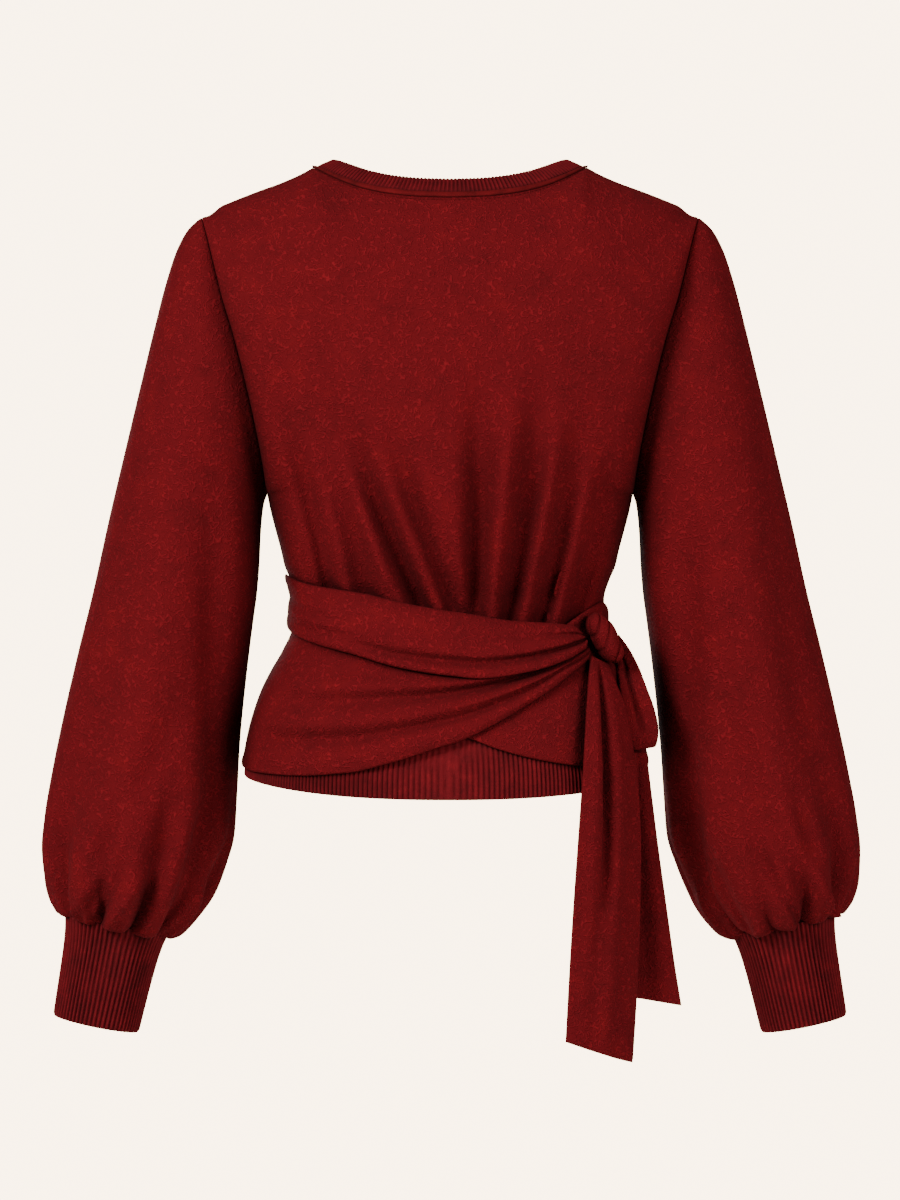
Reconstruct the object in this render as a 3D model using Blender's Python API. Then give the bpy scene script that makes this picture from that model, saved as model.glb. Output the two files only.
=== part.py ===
"""Wrap top: a brushed-knit pullover with crossed fronts, full sleeves gathered into
ribbed cuffs, a ribbed neckband and hem band, and two wrap panels that are sewn into the
side seams, cross over the back and tie in a hanging bow at the wearer's right.

The garment keeps the hollow form that it has when worn. +Z is up, the back faces -Y,
the wearer's left is -X and the origin lies between the shoulders, level with the neck.
Every panel is a thin wall. A panel's outer face is a grid of points worked out from the
tables below, and its inner face is that grid moved in by the thickness of the cloth.
Run with: blender --background --python part.py
"""

import math

import bpy
import numpy as np

# ---------------------------------------------------------------- driving sizes (metres)
CLOTH = 0.0020
RIB_CLOTH = 0.0026
SEAM_GAP = 0.0003
LAYER_GAP = 0.0009

UNDERARM_Z = -0.2512
SHOULDER_TIP = (0.1935, 0.0, -0.0351)
NECK_POINT_X = 0.1065
NECK_BACK_DEPTH = 0.066
HEM_SEAM_Z = -0.434
HEM_SIDE_Z = -0.4705
HEM_BACK_DROP = 0.0145
HEM_FRONT_DROP = 0.006
SIDE_SEAM_Y = 0.004

HEM_RIBS = 156
CUFF_RIBS = 60
NECK_RIB_PITCH = 0.0068
RIB_RELIEF = 0.0012

NECKBAND_WIDTH = 0.0165
FRONT_LAYER = 0.0066
ARMHOLE_BACK = 0.052
ARMHOLE_FRONT = 0.056

BODY_COLUMNS = 30
FRONT_COLUMNS = 10
UPPER_ROWS = 8
SLEEVE_SIDES = 32
NECK_COLUMN = 0.63

SQUARE = 2.3  # squareness of the body's level sections
NECK_LEAN = 24  # degrees that the neckband rises off the level
NECK_BACK_LEAN = 23  # and how much more it does at the centre back
UNDER_BAND_FROM = -0.3  # row of the under front where its neckband ends

CUFF_END = (-0.2776, 0.019, -0.6658)  # middle of the left cuff's mouth
CUFF_TOP_HALF = (0.0396, 0.0385)
CUFF_END_HALF = (0.0338, 0.0330)
CUFF_GAP = 0.0009

KNOT_CENTRE = (0.1188, -0.0586, -0.3630)
KNOT_HALF = (0.0100, 0.0108, 0.0205)
KNOT_LEAN = 30  # degrees
HANG_FROM_Z = -0.456  # below this height the tails hang straight down

TAPE_ROWS = (0.975, 0.993)
TAPE_CLOTH = 0.0010

RED = (0.235, 0.010, 0.014)
RIB_RED = (0.200, 0.008, 0.012)


# Heights of the rows of the panels below the underarm, closer together at the waist.
PANEL_HEIGHTS = (-0.434, -0.415, -0.393, -0.373, -0.356, -0.338, -0.322, -0.309, -0.292, -0.272)


class Table:
    """Rows of named sizes, read smoothly between the rows along the first column."""

    def __init__(self, columns, rows):
        data = np.array(sorted(rows), dtype=float)
        self.keys = data[:, 0]
        self.values = {name: data[:, i] for i, name in enumerate(columns.split())}

    def at(self, key, name):
        """Monotone cubic reading of one column at one key or an array of keys."""
        x, y = self.keys, self.values[name]
        key = np.clip(np.asarray(key, dtype=float), x[0], x[-1])
        step = np.diff(x)
        rise = np.diff(y) / step
        slope = np.empty_like(y)
        slope[0], slope[-1] = rise[0], rise[-1]
        same = rise[:-1] * rise[1:] > 0
        with np.errstate(divide="ignore", invalid="ignore"):
            mean = 2.0 * rise[:-1] * rise[1:] / (rise[:-1] + rise[1:])
        slope[1:-1] = np.where(same, mean, 0.0)
        i = np.clip(np.searchsorted(x, key) - 1, 0, len(step) - 1)
        t = (key - x[i]) / step[i]
        h = step[i]
        return (
            y[i] * (2 * t**3 - 3 * t**2 + 1)
            + slope[i] * h * (t**3 - 2 * t**2 + t)
            + y[i + 1] * (3 * t**2 - 2 * t**3)
            + slope[i + 1] * h * (t**3 - t**2)
        )


# Level sections of the body below the underarm: half width at the side seams, reach of
# the back (-Y) and of the front (+Y).
BODY = Table(
    "z half_width back front",
    [
        (-0.2512, 0.1427, 0.0985, 0.1230),
        (-0.2636, 0.1402, 0.0975, 0.1220),
        (-0.2792, 0.1362, 0.0955, 0.1175),
        (-0.2948, 0.1320, 0.0925, 0.1110),
        (-0.3070, 0.1292, 0.0895, 0.1050),
        (-0.3180, 0.1245, 0.0860, 0.0990),
        (-0.3330, 0.1203, 0.0825, 0.0950),
        (-0.3550, 0.1203, 0.0830, 0.0955),
        (-0.3730, 0.1275, 0.0885, 0.0990),
        (-0.3880, 0.1362, 0.0945, 0.1030),
        (-0.4040, 0.1442, 0.1010, 0.1070),
        (-0.4200, 0.1500, 0.1065, 0.1100),
        (-0.4340, 0.1540, 0.1105, 0.1120),
        (-0.4510, 0.1575, 0.1140, 0.1130),
        (-0.4705, 0.1608, 0.1160, 0.1130),
        (-0.4900, 0.1615, 0.1165, 0.1130),
    ],
)

# Reach of the body at the centre back and centre front above the underarm, before the
# cloth turns over the shoulders.
CHEST = Table(
    "z back front",
    [
        (-0.2512, 0.0985, 0.1230),
        (-0.2250, 0.1010, 0.1220),
        (-0.1900, 0.1035, 0.1160),
        (-0.1500, 0.1040, 0.1060),
        (-0.1100, 0.1025, 0.0950),
        (-0.0700, 0.0985, 0.0850),
        (-0.0300, 0.0930, 0.0770),
        (0.0000, 0.0900, 0.0720),
    ],
)

# Where the armhole seam lies, seen from the back.
ARMHOLE = Table(
    "z x",
    [
        (-0.2512, 0.1427),
        (-0.2363, 0.1451),
        (-0.2036, 0.1513),
        (-0.1638, 0.1603),
        (-0.1287, 0.1695),
        (-0.1006, 0.1780),
        (-0.0741, 0.1845),
        (-0.0476, 0.1908),
        (-0.0351, 0.1935),
    ],
)

# Height of the neckline of the back against the distance from its centre.
NECKLINE = Table(
    "x z",
    [
        (0.0000, -0.0214),
        (0.0250, -0.0205),
        (0.0484, -0.0178),
        (0.0700, -0.0128),
        (0.0819, -0.0085),
        (0.0950, -0.0027),
        (0.1065, 0.0030),
    ],
)

KNOT_DRAW = 0.0075  # how far the wrap draws the right side in, from these heights down
KNOT_DRAW_Z = (-0.395, -0.445)

NECK_CURVE = 2.4  # how square the neckline is as seen from above
NECK_STAND = 0.48  # how much steeper than the shoulders the cloth stays at mid neck
TURN_FROM = 0.55  # share of the armhole's height from which the cloth turns over the shoulder
TURN_HIGH = 0.36  # share of the upper body's height that this turn takes
SHARP_FROM = 60  # degrees: edges sharper than this stay sharp
RIB_SHARP_FROM = 80  # the same for ribbed pieces

# Height of the shoulder seam against the distance from the centre.
SHOULDER = Table(
    "x z",
    [
        (0.1065, 0.0030),
        (0.1170, -0.0026),
        (0.1326, -0.0093),
        (0.1480, -0.0148),
        (0.1716, -0.0240),
        (0.1870, -0.0306),
        (0.1935, -0.0351),
    ],
)

# Troughs in the back, from the shoulder blades down to the wrap: both ends, the bow to
# the side at half way, the half width of the trough and its depth at the lower end.
BACK_TROUGHS = [
    # x_top, z_top, x_low, z_low, bow, width, depth
    (-0.1350, -0.2262, -0.1053, -0.3145, 0.002, 0.0075, 0.0045),
    (-0.1214, -0.1844, -0.0731, -0.3272, 0.003, 0.0085, 0.0060),
    (-0.0903, -0.1698, -0.0292, -0.3340, -0.002, 0.0090, 0.0065),
    (-0.0495, -0.1766, 0.0039, -0.3379, 0.000, 0.0085, 0.0050),
    (0.0223, -0.1941, 0.0185, -0.3418, 0.002, 0.0075, 0.0060),
    (0.0835, -0.1766, 0.0497, -0.3437, 0.002, 0.0095, 0.0065),
    (0.1205, -0.2252, 0.0673, -0.3467, 0.002, 0.0085, 0.0055),
    (0.1234, -0.2786, 0.0868, -0.3496, 0.002, 0.0070, 0.0045),
]

# Soft troughs of the same kind in the two fronts, which the wrap does not press.
FRONT_TROUGHS = [
    (-0.1180, -0.215, -0.0920, -0.345, 0.002, 0.0090, 0.0030),
    (-0.0700, -0.260, -0.0480, -0.360, -0.002, 0.0095, 0.0026),
    (0.0100, -0.250, 0.0050, -0.372, 0.002, 0.0100, 0.0022),
    (0.0760, -0.235, 0.0500, -0.350, -0.002, 0.0095, 0.0030),
    (0.1200, -0.225, 0.0980, -0.340, -0.002, 0.0085, 0.0028),
]

# The sleeve as rings from the armhole to the cuff: the ends of each ring on the outer
# and the inner side of the arm, its half depth and how far forward its middle lies.
SLEEVE = Table(
    "ring outer_x outer_z inner_x inner_z depth mid_y",
    [
        (0.0, 0.1935, -0.0351, 0.1427, -0.2512, 0.0540, 0.002),
        (1.0, 0.2043, -0.0452, 0.1449, -0.2570, 0.0560, 0.002),
        (2.0, 0.2129, -0.0608, 0.1461, -0.2640, 0.0580, 0.002),
        (3.0, 0.2215, -0.0866, 0.1470, -0.2730, 0.0600, 0.002),
        (4.0, 0.2309, -0.1232, 0.1478, -0.2850, 0.0620, 0.002),
        (5.0, 0.2418, -0.1685, 0.1486, -0.3040, 0.0630, 0.002),
        (6.0, 0.2543, -0.2207, 0.1505, -0.3276, 0.0630, 0.003),
        (7.0, 0.2668, -0.2730, 0.1529, -0.3455, 0.0630, 0.004),
        (8.0, 0.2785, -0.3260, 0.1560, -0.3690, 0.0635, 0.005),
        (9.0, 0.2902, -0.3728, 0.1593, -0.3962, 0.0645, 0.007),
        (10.0, 0.3019, -0.4220, 0.1640, -0.4430, 0.0665, 0.009),
        (11.0, 0.3120, -0.4664, 0.1666, -0.4836, 0.0690, 0.011),
        (12.0, 0.3186, -0.5015, 0.1694, -0.5171, 0.0705, 0.013),
        (13.0, 0.3214, -0.5288, 0.1760, -0.5405, 0.0700, 0.014),
        (14.0, 0.3198, -0.5522, 0.1850, -0.5622, 0.0660, 0.015),
        (15.0, 0.3136, -0.5702, 0.1975, -0.5792, 0.0580, 0.016),
        (16.0, 0.3068, -0.5780, 0.2110, -0.5930, 0.0480, 0.017),
        (17.0, 0.3010, -0.5800, 0.2222, -0.5985, 0.0400, 0.017),
    ],
)
SLEEVE_RINGS = [0, 1, 2.5, 4.2, 6.2, 8.4, 10.4, 12, 13.4, 14.6, 15.6, 16.4, 17]
GATHERS = 9
GATHER_DEPTH = 0.0030


# Free edge of the over front, as a place across the body at each row of the panel; the
# under front is its mirror image.
FREE_EDGE = Table(
    "row column",
    [(-1.0, -0.74), (-0.5, -0.70), (0.0, -0.36), (0.35, 0.0), (0.7, 0.36), (1.0, 0.63)],
)

# Each wrap panel against the angle round the body (0 left seam, 90 centre back, 180
# right seam): heights of its edges, how far its inner face lies off the body at each
# edge, and how far it swells out between them.
WRAPS = {
    "wrap_under": Table(
        "angle top bottom top_lift bottom_lift swell",
        [
            (84, -0.4263, -0.4321, 0.0009, 0.0009, 0.0000),
            (93, -0.4156, -0.4376, 0.0009, 0.0009, 0.0000),
            (101, -0.3981, -0.4464, 0.0009, 0.0009, 0.0004),
            (112, -0.3807, -0.4542, 0.0009, 0.0009, 0.0006),
            (126, -0.3613, -0.4595, 0.0009, 0.0010, 0.0006),
            (150, -0.3405, -0.4621, 0.0009, 0.0010, 0.0008),
            (170, -0.3350, -0.4624, 0.0009, 0.0010, 0.0015),
            (181.5, -0.3345, -0.4620, 0.0010, 0.0010, 0.0012),
        ],
    ),
    "wrap_lower": Table(
        "angle top bottom top_lift bottom_lift swell",
        [
            (-1.5, -0.3430, -0.4600, 0.0013, 0.0010, 0.0000),
            (0, -0.3440, -0.4612, 0.0013, 0.0010, 0.0000),
            (27, -0.3498, -0.4663, 0.0012, 0.0010, 0.0020),
            (47, -0.3585, -0.4674, 0.0010, 0.0012, 0.0045),
            (65, -0.3652, -0.4645, 0.0010, 0.0016, 0.0060),
            (76, -0.3709, -0.4575, 0.0014, 0.0040, 0.0055),
            (88, -0.3777, -0.4452, 0.0042, 0.0050, 0.0048),
            (101, -0.3797, -0.4263, 0.0052, 0.0052, 0.0042),
            (111, -0.3778, -0.4113, 0.0052, 0.0052, 0.0036),
            (125, -0.3721, -0.3925, 0.0054, 0.0054, 0.0028),
            (135, -0.3683, -0.3820, 0.0056, 0.0056, 0.0016),
            (140.5, -0.3659, -0.3762, 0.0056, 0.0056, 0.0006),
        ],
    ),
    "wrap_sash": Table(
        "angle top bottom top_lift bottom_lift swell",
        [
            (-1.5, -0.3134, -0.3535, 0.0009, 0.0047, 0.0010),
            (0, -0.3134, -0.3545, 0.0009, 0.0048, 0.0010),
            (10, -0.3150, -0.3575, 0.0010, 0.0048, 0.0016),
            (23, -0.3192, -0.3617, 0.0014, 0.0046, 0.0028),
            (36, -0.3227, -0.3660, 0.0014, 0.0050, 0.0048),
            (60, -0.3286, -0.3754, 0.0014, 0.0056, 0.0070),
            (76, -0.3359, -0.3846, 0.0014, 0.0080, 0.0080),
            (88, -0.3413, -0.3903, 0.0014, 0.0110, 0.0080),
            (96, -0.3447, -0.3933, 0.0014, 0.0124, 0.0076),
            (110, -0.3496, -0.3885, 0.0018, 0.0126, 0.0066),
            (127, -0.3516, -0.3780, 0.0050, 0.0120, 0.0044),
            (134, -0.3531, -0.3727, 0.0058, 0.0104, 0.0026),
            (139.5, -0.3546, -0.3694, 0.0060, 0.0092, 0.0010),
        ],
    ),
}
# Troughs that run along a wrap panel: where each begins and ends round the body, its
# place across the panel at both ends (0 top, 1 bottom), half width and depth.
WRAP_TROUGHS = {
    "wrap_under": [],
    "wrap_lower": [
        # angle_from, angle_to, place_from, place_to, width, depth
        (30, 150, 0.52, 0.30, 0.085, 0.0042),
        (18, 120, 0.78, 0.68, 0.075, 0.0036),
    ],
    "wrap_sash": [
        (62, 160, 0.86, 0.62, 0.10, 0.0035),
        (-10, 60, 0.40, 0.52, 0.12, 0.0012),
    ],
}
WRAP_ROWS = {"wrap_under": 6, "wrap_lower": 8, "wrap_sash": 6}

# Hanging strips, from top to bottom: both edges of the strip as seen from the back, and
# how far each edge stands off the body, or off the line below its widest part.
STRIPS = {
    "tail_front": Table(
        "run left_x left_z left_off right_x right_z right_off",
        [
            (0.00, 0.1085, -0.3765, 0.0150, 0.1228, -0.3835, 0.0170),
            (0.08, 0.1062, -0.3925, 0.0165, 0.1288, -0.3990, 0.0205),
            (0.15, 0.1042, -0.4153, 0.0170, 0.1357, -0.4172, 0.0232),
            (0.24, 0.1024, -0.4424, 0.0180, 0.1406, -0.4443, 0.0252),
            (0.34, 0.1003, -0.4734, 0.0180, 0.1447, -0.4744, 0.0250),
            (0.50, 0.0966, -0.5237, 0.0165, 0.1469, -0.5247, 0.0240),
            (0.65, 0.0935, -0.5673, 0.0140, 0.1464, -0.5702, 0.0225),
            (0.83, 0.0902, -0.6205, 0.0140, 0.1442, -0.6302, 0.0225),
            (1.00, 0.0876, -0.6680, 0.0130, 0.1405, -0.6868, 0.0220),
        ],
    ),
    "tail_back": Table(
        "run left_x left_z left_off right_x right_z right_off",
        [
            (0.00, 0.1200, -0.4512, 0.0112, 0.1480, -0.4512, 0.0142),
            (0.12, 0.1181, -0.4710, 0.0104, 0.1532, -0.4730, 0.0134),
            (0.40, 0.1157, -0.5245, 0.0090, 0.1610, -0.5255, 0.0090),
            (0.66, 0.1152, -0.5731, 0.0085, 0.1680, -0.5760, 0.0085),
            (0.85, 0.1147, -0.6071, 0.0085, 0.1733, -0.6139, 0.0085),
            (1.00, 0.1142, -0.6343, 0.0085, 0.1785, -0.6460, 0.0085),
        ],
    ),
    # The bow's loop: down its outer layer and up its inner one.
    "bow_loop": Table(
        "run left_x left_z left_off right_x right_z right_off",
        [
            (0.00, 0.1262, -0.3710, 0.0135, 0.1300, -0.3600, 0.0135),
            (0.08, 0.1287, -0.3850, 0.0140, 0.1392, -0.3730, 0.0150),
            (0.22, 0.1312, -0.4060, 0.0150, 0.1500, -0.3960, 0.0155),
            (0.34, 0.1335, -0.4270, 0.0160, 0.1578, -0.4190, 0.0165),
            (0.42, 0.1360, -0.4400, 0.0165, 0.1604, -0.4330, 0.0170),
            (0.46, 0.1390, -0.4442, 0.0162, 0.1604, -0.4385, 0.0168),
            (0.50, 0.1408, -0.4495, 0.0128, 0.1582, -0.4470, 0.0132),
            (0.54, 0.1394, -0.4442, 0.0094, 0.1600, -0.4385, 0.0096),
            (0.58, 0.1366, -0.4405, 0.0088, 0.1598, -0.4335, 0.0090),
            (0.68, 0.1340, -0.4270, 0.0088, 0.1570, -0.4195, 0.0090),
            (0.85, 0.1315, -0.4000, 0.0094, 0.1470, -0.3930, 0.0090),
            (1.00, 0.1300, -0.3820, 0.0097, 0.1385, -0.3740, 0.0085),
        ],
    ),
}
# How far each strip goes straight across between its edges, rather than round the body.
STRIP_FLAT = {"tail_front": 1.0, "tail_back": 0.3, "bow_loop": 1.0}
STRIP_PLEATS = {
    # along_from, along_to, across_from, across_to, width, depth
    "tail_front": [(0.02, 0.62, 0.45, 0.52, 0.16, 0.0042), (0.30, 1.0, 0.80, 0.72, 0.14, 0.0018)],
    "tail_back": [(0.10, 0.95, 0.62, 0.58, 0.16, 0.0026)],
    "bow_loop": [],
}


# ---------------------------------------------------------------- small mathematics
def smooth(t):
    """Soft step from 0 to 1."""
    t = np.clip(t, 0.0, 1.0)
    return t * t * (3.0 - 2.0 * t)


def unit(vectors):
    """Vectors of length one."""
    size = np.linalg.norm(vectors, axis=-1, keepdims=True)
    return vectors / np.maximum(size, 1e-12)


def trough_depth(rows, x, z):
    """Depth of a set of troughs at points seen from the back."""
    total = np.zeros_like(x)
    for x_top, z_top, x_low, z_low, bow, width, depth in rows:
        along = np.clip((z_top - z) / (z_top - z_low), -0.5, 1.3)
        middle = x_top + (x_low - x_top) * along + bow * np.sin(np.pi * np.clip(along, 0, 1))
        fade = smooth(along * 1.25 + 0.12)
        spread = width * (1.15 - 0.3 * np.clip(along, 0, 1))
        total += depth * fade * np.exp(-(((x - middle) / spread) ** 2))
    return total


# ---------------------------------------------------------------- the body's surface
def lateral(columns, high):
    """Place of a column across a panel, -1 to 1, at height `high` of the upper body.

    At the top the columns are moved so that one of them meets the neck point.
    """
    top_neck = NECK_POINT_X / SHOULDER_TIP[0]
    size = np.abs(columns)
    inner = size * top_neck / NECK_COLUMN
    outer = top_neck + (size - NECK_COLUMN) * (1 - top_neck) / (1 - NECK_COLUMN)
    top = np.where(size <= NECK_COLUMN, inner, outer)
    return np.sign(columns) * (size + (top - size) * high)


def sash_top(x):
    """Height of the upper edge of the wrap on the back."""
    return -0.3110 - 0.0160 * smooth((x + 0.128) / 0.06) - 0.0270 * smooth((x + 0.08) / 0.20)


def armhole(angle):
    """Point of the left armhole seam: 0 underarm, pi/2 back, pi shoulder, 3pi/2 front."""
    z = UNDERARM_Z + (SHOULDER_TIP[2] - UNDERARM_Z) * (1 - np.cos(angle)) / 2
    deep = np.where(np.sin(angle) > 0, ARMHOLE_BACK, ARMHOLE_FRONT)
    lift = smooth((1 - np.cos(angle)) / 2)
    y = SIDE_SEAM_Y * (1 - lift) - deep * np.sign(np.sin(angle)) * np.abs(np.sin(angle)) ** 0.9
    x = -ARMHOLE.at(z, "x")
    return np.stack([x, y, z], axis=-1)


def lower_half(z, x):
    """Half width of the lower body at z on the side of x, drawn in beside the knot."""
    start, full = KNOT_DRAW_Z
    draw = KNOT_DRAW * smooth((start - z) / (start - full))
    return BODY.at(z, "half_width") - np.where(x > 0, draw, 0.0)


def body_point(column, row, face):
    """A point of the body's outer face.

    column runs from -1 at the left seam to 1 at the right one, row from -1 at the hem
    seam through 0 at the underarm to 1 at the shoulder; face is "back" or "front".
    """
    column, row = np.broadcast_arrays(np.asarray(column, float), np.asarray(row, float))
    sign = -1.0 if face == "back" else 1.0
    troughs = BACK_TROUGHS if face == "back" else FRONT_TROUGHS
    low, high = np.clip(-row, 0, 1), np.clip(row, 0, 1)

    z_low = UNDERARM_Z + (HEM_SEAM_Z - UNDERARM_Z) * low
    swell = np.clip(1 - np.abs(column) ** SQUARE, 0, 1) ** (1 / SQUARE)
    x_low = lower_half(z_low, column) * column
    deep_low = BODY.at(z_low, face) - sign * SIDE_SEAM_Y
    y_low = SIDE_SEAM_Y + sign * deep_low * swell

    edge = armhole(np.pi * high if face == "back" else 2 * np.pi - np.pi * high)
    place = lateral(column, high)
    x_high = -edge[..., 0] * place
    reach = np.abs(lateral(column, np.ones_like(high))) * SHOULDER_TIP[0]
    slope = np.clip((reach - NECK_POINT_X) / (SHOULDER_TIP[0] - NECK_POINT_X), 0, 1)
    shoulder_z = SHOULDER.at(reach, "z")
    neck_share = np.clip(reach / NECK_POINT_X, 0, 1)
    neck_y = NECK_BACK_DEPTH * np.sqrt(1 - neck_share**NECK_CURVE)
    if face == "back":
        top_z = np.where(slope > 0, shoulder_z, NECKLINE.at(reach, "z"))
    else:
        top_z = shoulder_z
    top_deep = np.where(slope > 0, 0.0, neck_y)
    turn_max = np.pi / 2 * (1 - NECK_STAND * (1 - neck_share**3))
    turn = np.clip((high - TURN_FROM) / (1 - TURN_FROM), 0, 1) * turn_max
    rise = np.where(
        high < TURN_FROM,
        high / TURN_FROM * (1 - TURN_HIGH),
        1 - TURN_HIGH + TURN_HIGH * np.sin(turn) / np.sin(turn_max),
    )
    inner_z = UNDERARM_Z + (top_z - UNDERARM_Z) * rise
    full = CHEST.at(inner_z, face)
    bend = (np.cos(turn) - np.cos(turn_max)) / (1 - np.cos(turn_max))
    inner_deep = top_deep + (full - top_deep) * bend
    blend = smooth((1 - np.abs(column)) * (3.2 + 11 * smooth((high - 0.72) / 0.28)))
    z_high = edge[..., 2] + (inner_z - edge[..., 2]) * np.where(high > 0, blend, 0)
    y_high = edge[..., 1] + (sign * inner_deep - edge[..., 1]) * swell

    upper = row > 0
    x = np.where(upper, x_high, x_low)
    y = np.where(upper, y_high, y_low)
    z = np.where(upper, z_high, z_low)
    calm = smooth((1 - np.abs(column)) * 7)
    if face == "back":
        calm = calm * smooth((z - sash_top(x) + 0.009) / 0.018)
    else:
        calm = calm * smooth((z + 0.425) / 0.06)
    y = y - sign * trough_depth(troughs, x, z) * calm
    return np.stack([x, y, z], axis=-1)


def ring_point(angle, z, lift=0.0):
    """Point of the lower body at an angle: 0 left seam, 90 back, 180 right, 270 front."""
    angle, z, lift = np.broadcast_arrays(*(np.asarray(v, float) for v in (angle, z, lift)))
    turn = np.radians(angle)
    power = 2 / SQUARE
    half = lower_half(z, -np.cos(turn)) + lift
    back = BODY.at(z, "back") + lift + SIDE_SEAM_Y
    front = BODY.at(z, "front") + lift - SIDE_SEAM_Y
    x = -half * np.sign(np.cos(turn)) * np.abs(np.cos(turn)) ** power
    deep = np.where(np.sin(turn) > 0, -back, front)
    y = SIDE_SEAM_Y + deep * np.abs(np.sin(turn)) ** power
    return np.stack([x, y, z], axis=-1)


# ---------------------------------------------------------------- walls
def grid_normals(points, closed, outward):
    """Unit normals of a grid of points, on the side of the vector field `outward`."""
    if closed:
        across = np.roll(points, -1, axis=1) - np.roll(points, 1, axis=1)
    else:
        across = np.gradient(points, axis=1)
    along = np.gradient(points, axis=0)
    normals = unit(np.cross(across, along))
    side = np.sign(np.sum(normals * outward, axis=-1, keepdims=True))
    return normals * np.where(side == 0, 1, side)


def triangulated(name, vertices, faces, material, sharp_from=SHARP_FROM):
    """A new object from vertices and faces, facing out and shaded smooth."""
    corners = np.asarray(vertices, dtype=float)
    volume = 0.0
    for a, b, c in faces:
        volume += np.dot(corners[a], np.cross(corners[b], corners[c]))
    if volume < 0:
        faces = [(a, c, b) for a, b, c in faces]
    mesh = bpy.data.meshes.new(name)
    mesh.from_pydata([tuple(v) for v in corners], [], faces)
    mesh.materials.append(material)
    mesh.shade_smooth()
    mesh.set_sharp_from_angle(angle=math.radians(sharp_from))
    piece = bpy.data.objects.new(name, mesh)
    bpy.context.scene.collection.objects.link(piece)
    return piece


def wall(name, outer, inner, material, closed=False):
    """A closed wall between two grids of the same size; `closed` joins its last column
    to its first, as on a tube."""
    rows, columns = outer.shape[:2]
    vertices = np.concatenate([outer.reshape(-1, 3), inner.reshape(-1, 3)])
    other = rows * columns
    faces = []

    def quad(a, b, c, d):
        faces.extend([(a, b, c), (a, c, d)])

    def at(i, j, side):
        return side * other + i * columns + j % columns

    last = columns if closed else columns - 1
    for i in range(rows - 1):
        for j in range(last):
            quad(at(i, j, 0), at(i, j + 1, 0), at(i + 1, j + 1, 0), at(i + 1, j, 0))
            quad(at(i, j, 1), at(i + 1, j, 1), at(i + 1, j + 1, 1), at(i, j + 1, 1))
    for j in range(last):
        quad(at(0, j + 1, 0), at(0, j, 0), at(0, j, 1), at(0, j + 1, 1))
        quad(at(rows - 1, j, 0), at(rows - 1, j + 1, 0), at(rows - 1, j + 1, 1), at(rows - 1, j, 1))
    if not closed:
        for i in range(rows - 1):
            quad(at(i, 0, 0), at(i + 1, 0, 0), at(i + 1, 0, 1), at(i, 0, 1))
            quad(at(i + 1, last, 0), at(i, last, 0), at(i, last, 1), at(i + 1, last, 1))
    return triangulated(name, vertices, faces, material)


def ribbed_wall(name, outer, inner, material, closed=True):
    """A wall whose outer grid has two columns for each rib and its inner grid one."""
    rows, columns = outer.shape[:2]
    ribs = inner.shape[1]
    vertices = np.concatenate([outer.reshape(-1, 3), inner.reshape(-1, 3)])
    other = rows * columns
    faces = []
    last = columns if closed else columns - 1
    last_rib = ribs if closed else ribs - 1
    for i in range(rows - 1):
        for j in range(last):
            a, b = i * columns + j, i * columns + (j + 1) % columns
            c, d = b + columns, a + columns
            faces.extend([(a, b, c), (a, c, d)])
        for j in range(last_rib):
            a, b = other + i * ribs + j, other + i * ribs + (j + 1) % ribs
            c, d = b + ribs, a + ribs
            faces.extend([(a, c, b), (a, d, c)])
    for i, flip in ((0, False), (rows - 1, True)):
        for j in range(last_rib):
            first = i * columns + 2 * j
            middle = i * columns + (2 * j + 1) % columns
            third = i * columns + (2 * j + 2) % columns
            near, far = other + i * ribs + j, other + i * ribs + (j + 1) % ribs
            fan = [(first, near, middle), (near, far, middle), (far, third, middle)]
            faces.extend([(a, c, b) for a, b, c in fan] if flip else fan)
    if not closed:
        for i in range(rows - 1):
            a, b = i * columns, (i + 1) * columns
            c, d = other + (i + 1) * ribs, other + i * ribs
            faces.extend([(a, b, c), (a, c, d)])
            a, b = i * columns + columns - 1, (i + 1) * columns + columns - 1
            c, d = other + (i + 1) * ribs + ribs - 1, other + i * ribs + ribs - 1
            faces.extend([(a, c, b), (a, d, c)])
    return triangulated(name, vertices, faces, material, RIB_SHARP_FROM)


def cloth(name, colour, roughness):
    """A Principled material for one piece."""
    material = bpy.data.materials.new(name)
    material.use_nodes = True
    shader = material.node_tree.nodes["Principled BSDF"]
    shader.inputs["Base Color"].default_value = (*colour, 1.0)
    shader.inputs["Roughness"].default_value = roughness
    shader.inputs["Metallic"].default_value = 0.0
    material.diffuse_color = (*colour, 1.0)
    return material


# ---------------------------------------------------------------- body panels
def even_columns(count):
    """Places across a panel, equally spaced along the cloth at the underarm."""
    fine = np.linspace(0, np.pi, 721)
    place = -np.sign(np.cos(fine)) * np.abs(np.cos(fine)) ** (2 / SQUARE)
    path = body_point(place, 0.0, "back")
    run = np.concatenate([[0], np.cumsum(np.linalg.norm(np.diff(path, axis=0), axis=1))])
    even = np.interp(np.linspace(0, run[-1], count + 1), run, fine)
    places = -np.sign(np.cos(even)) * np.abs(np.cos(even)) ** (2 / SQUARE)
    nearest = int(np.argmin(np.abs(places - NECK_COLUMN)))
    places[nearest], places[count - nearest] = NECK_COLUMN, -NECK_COLUMN
    return places


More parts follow.
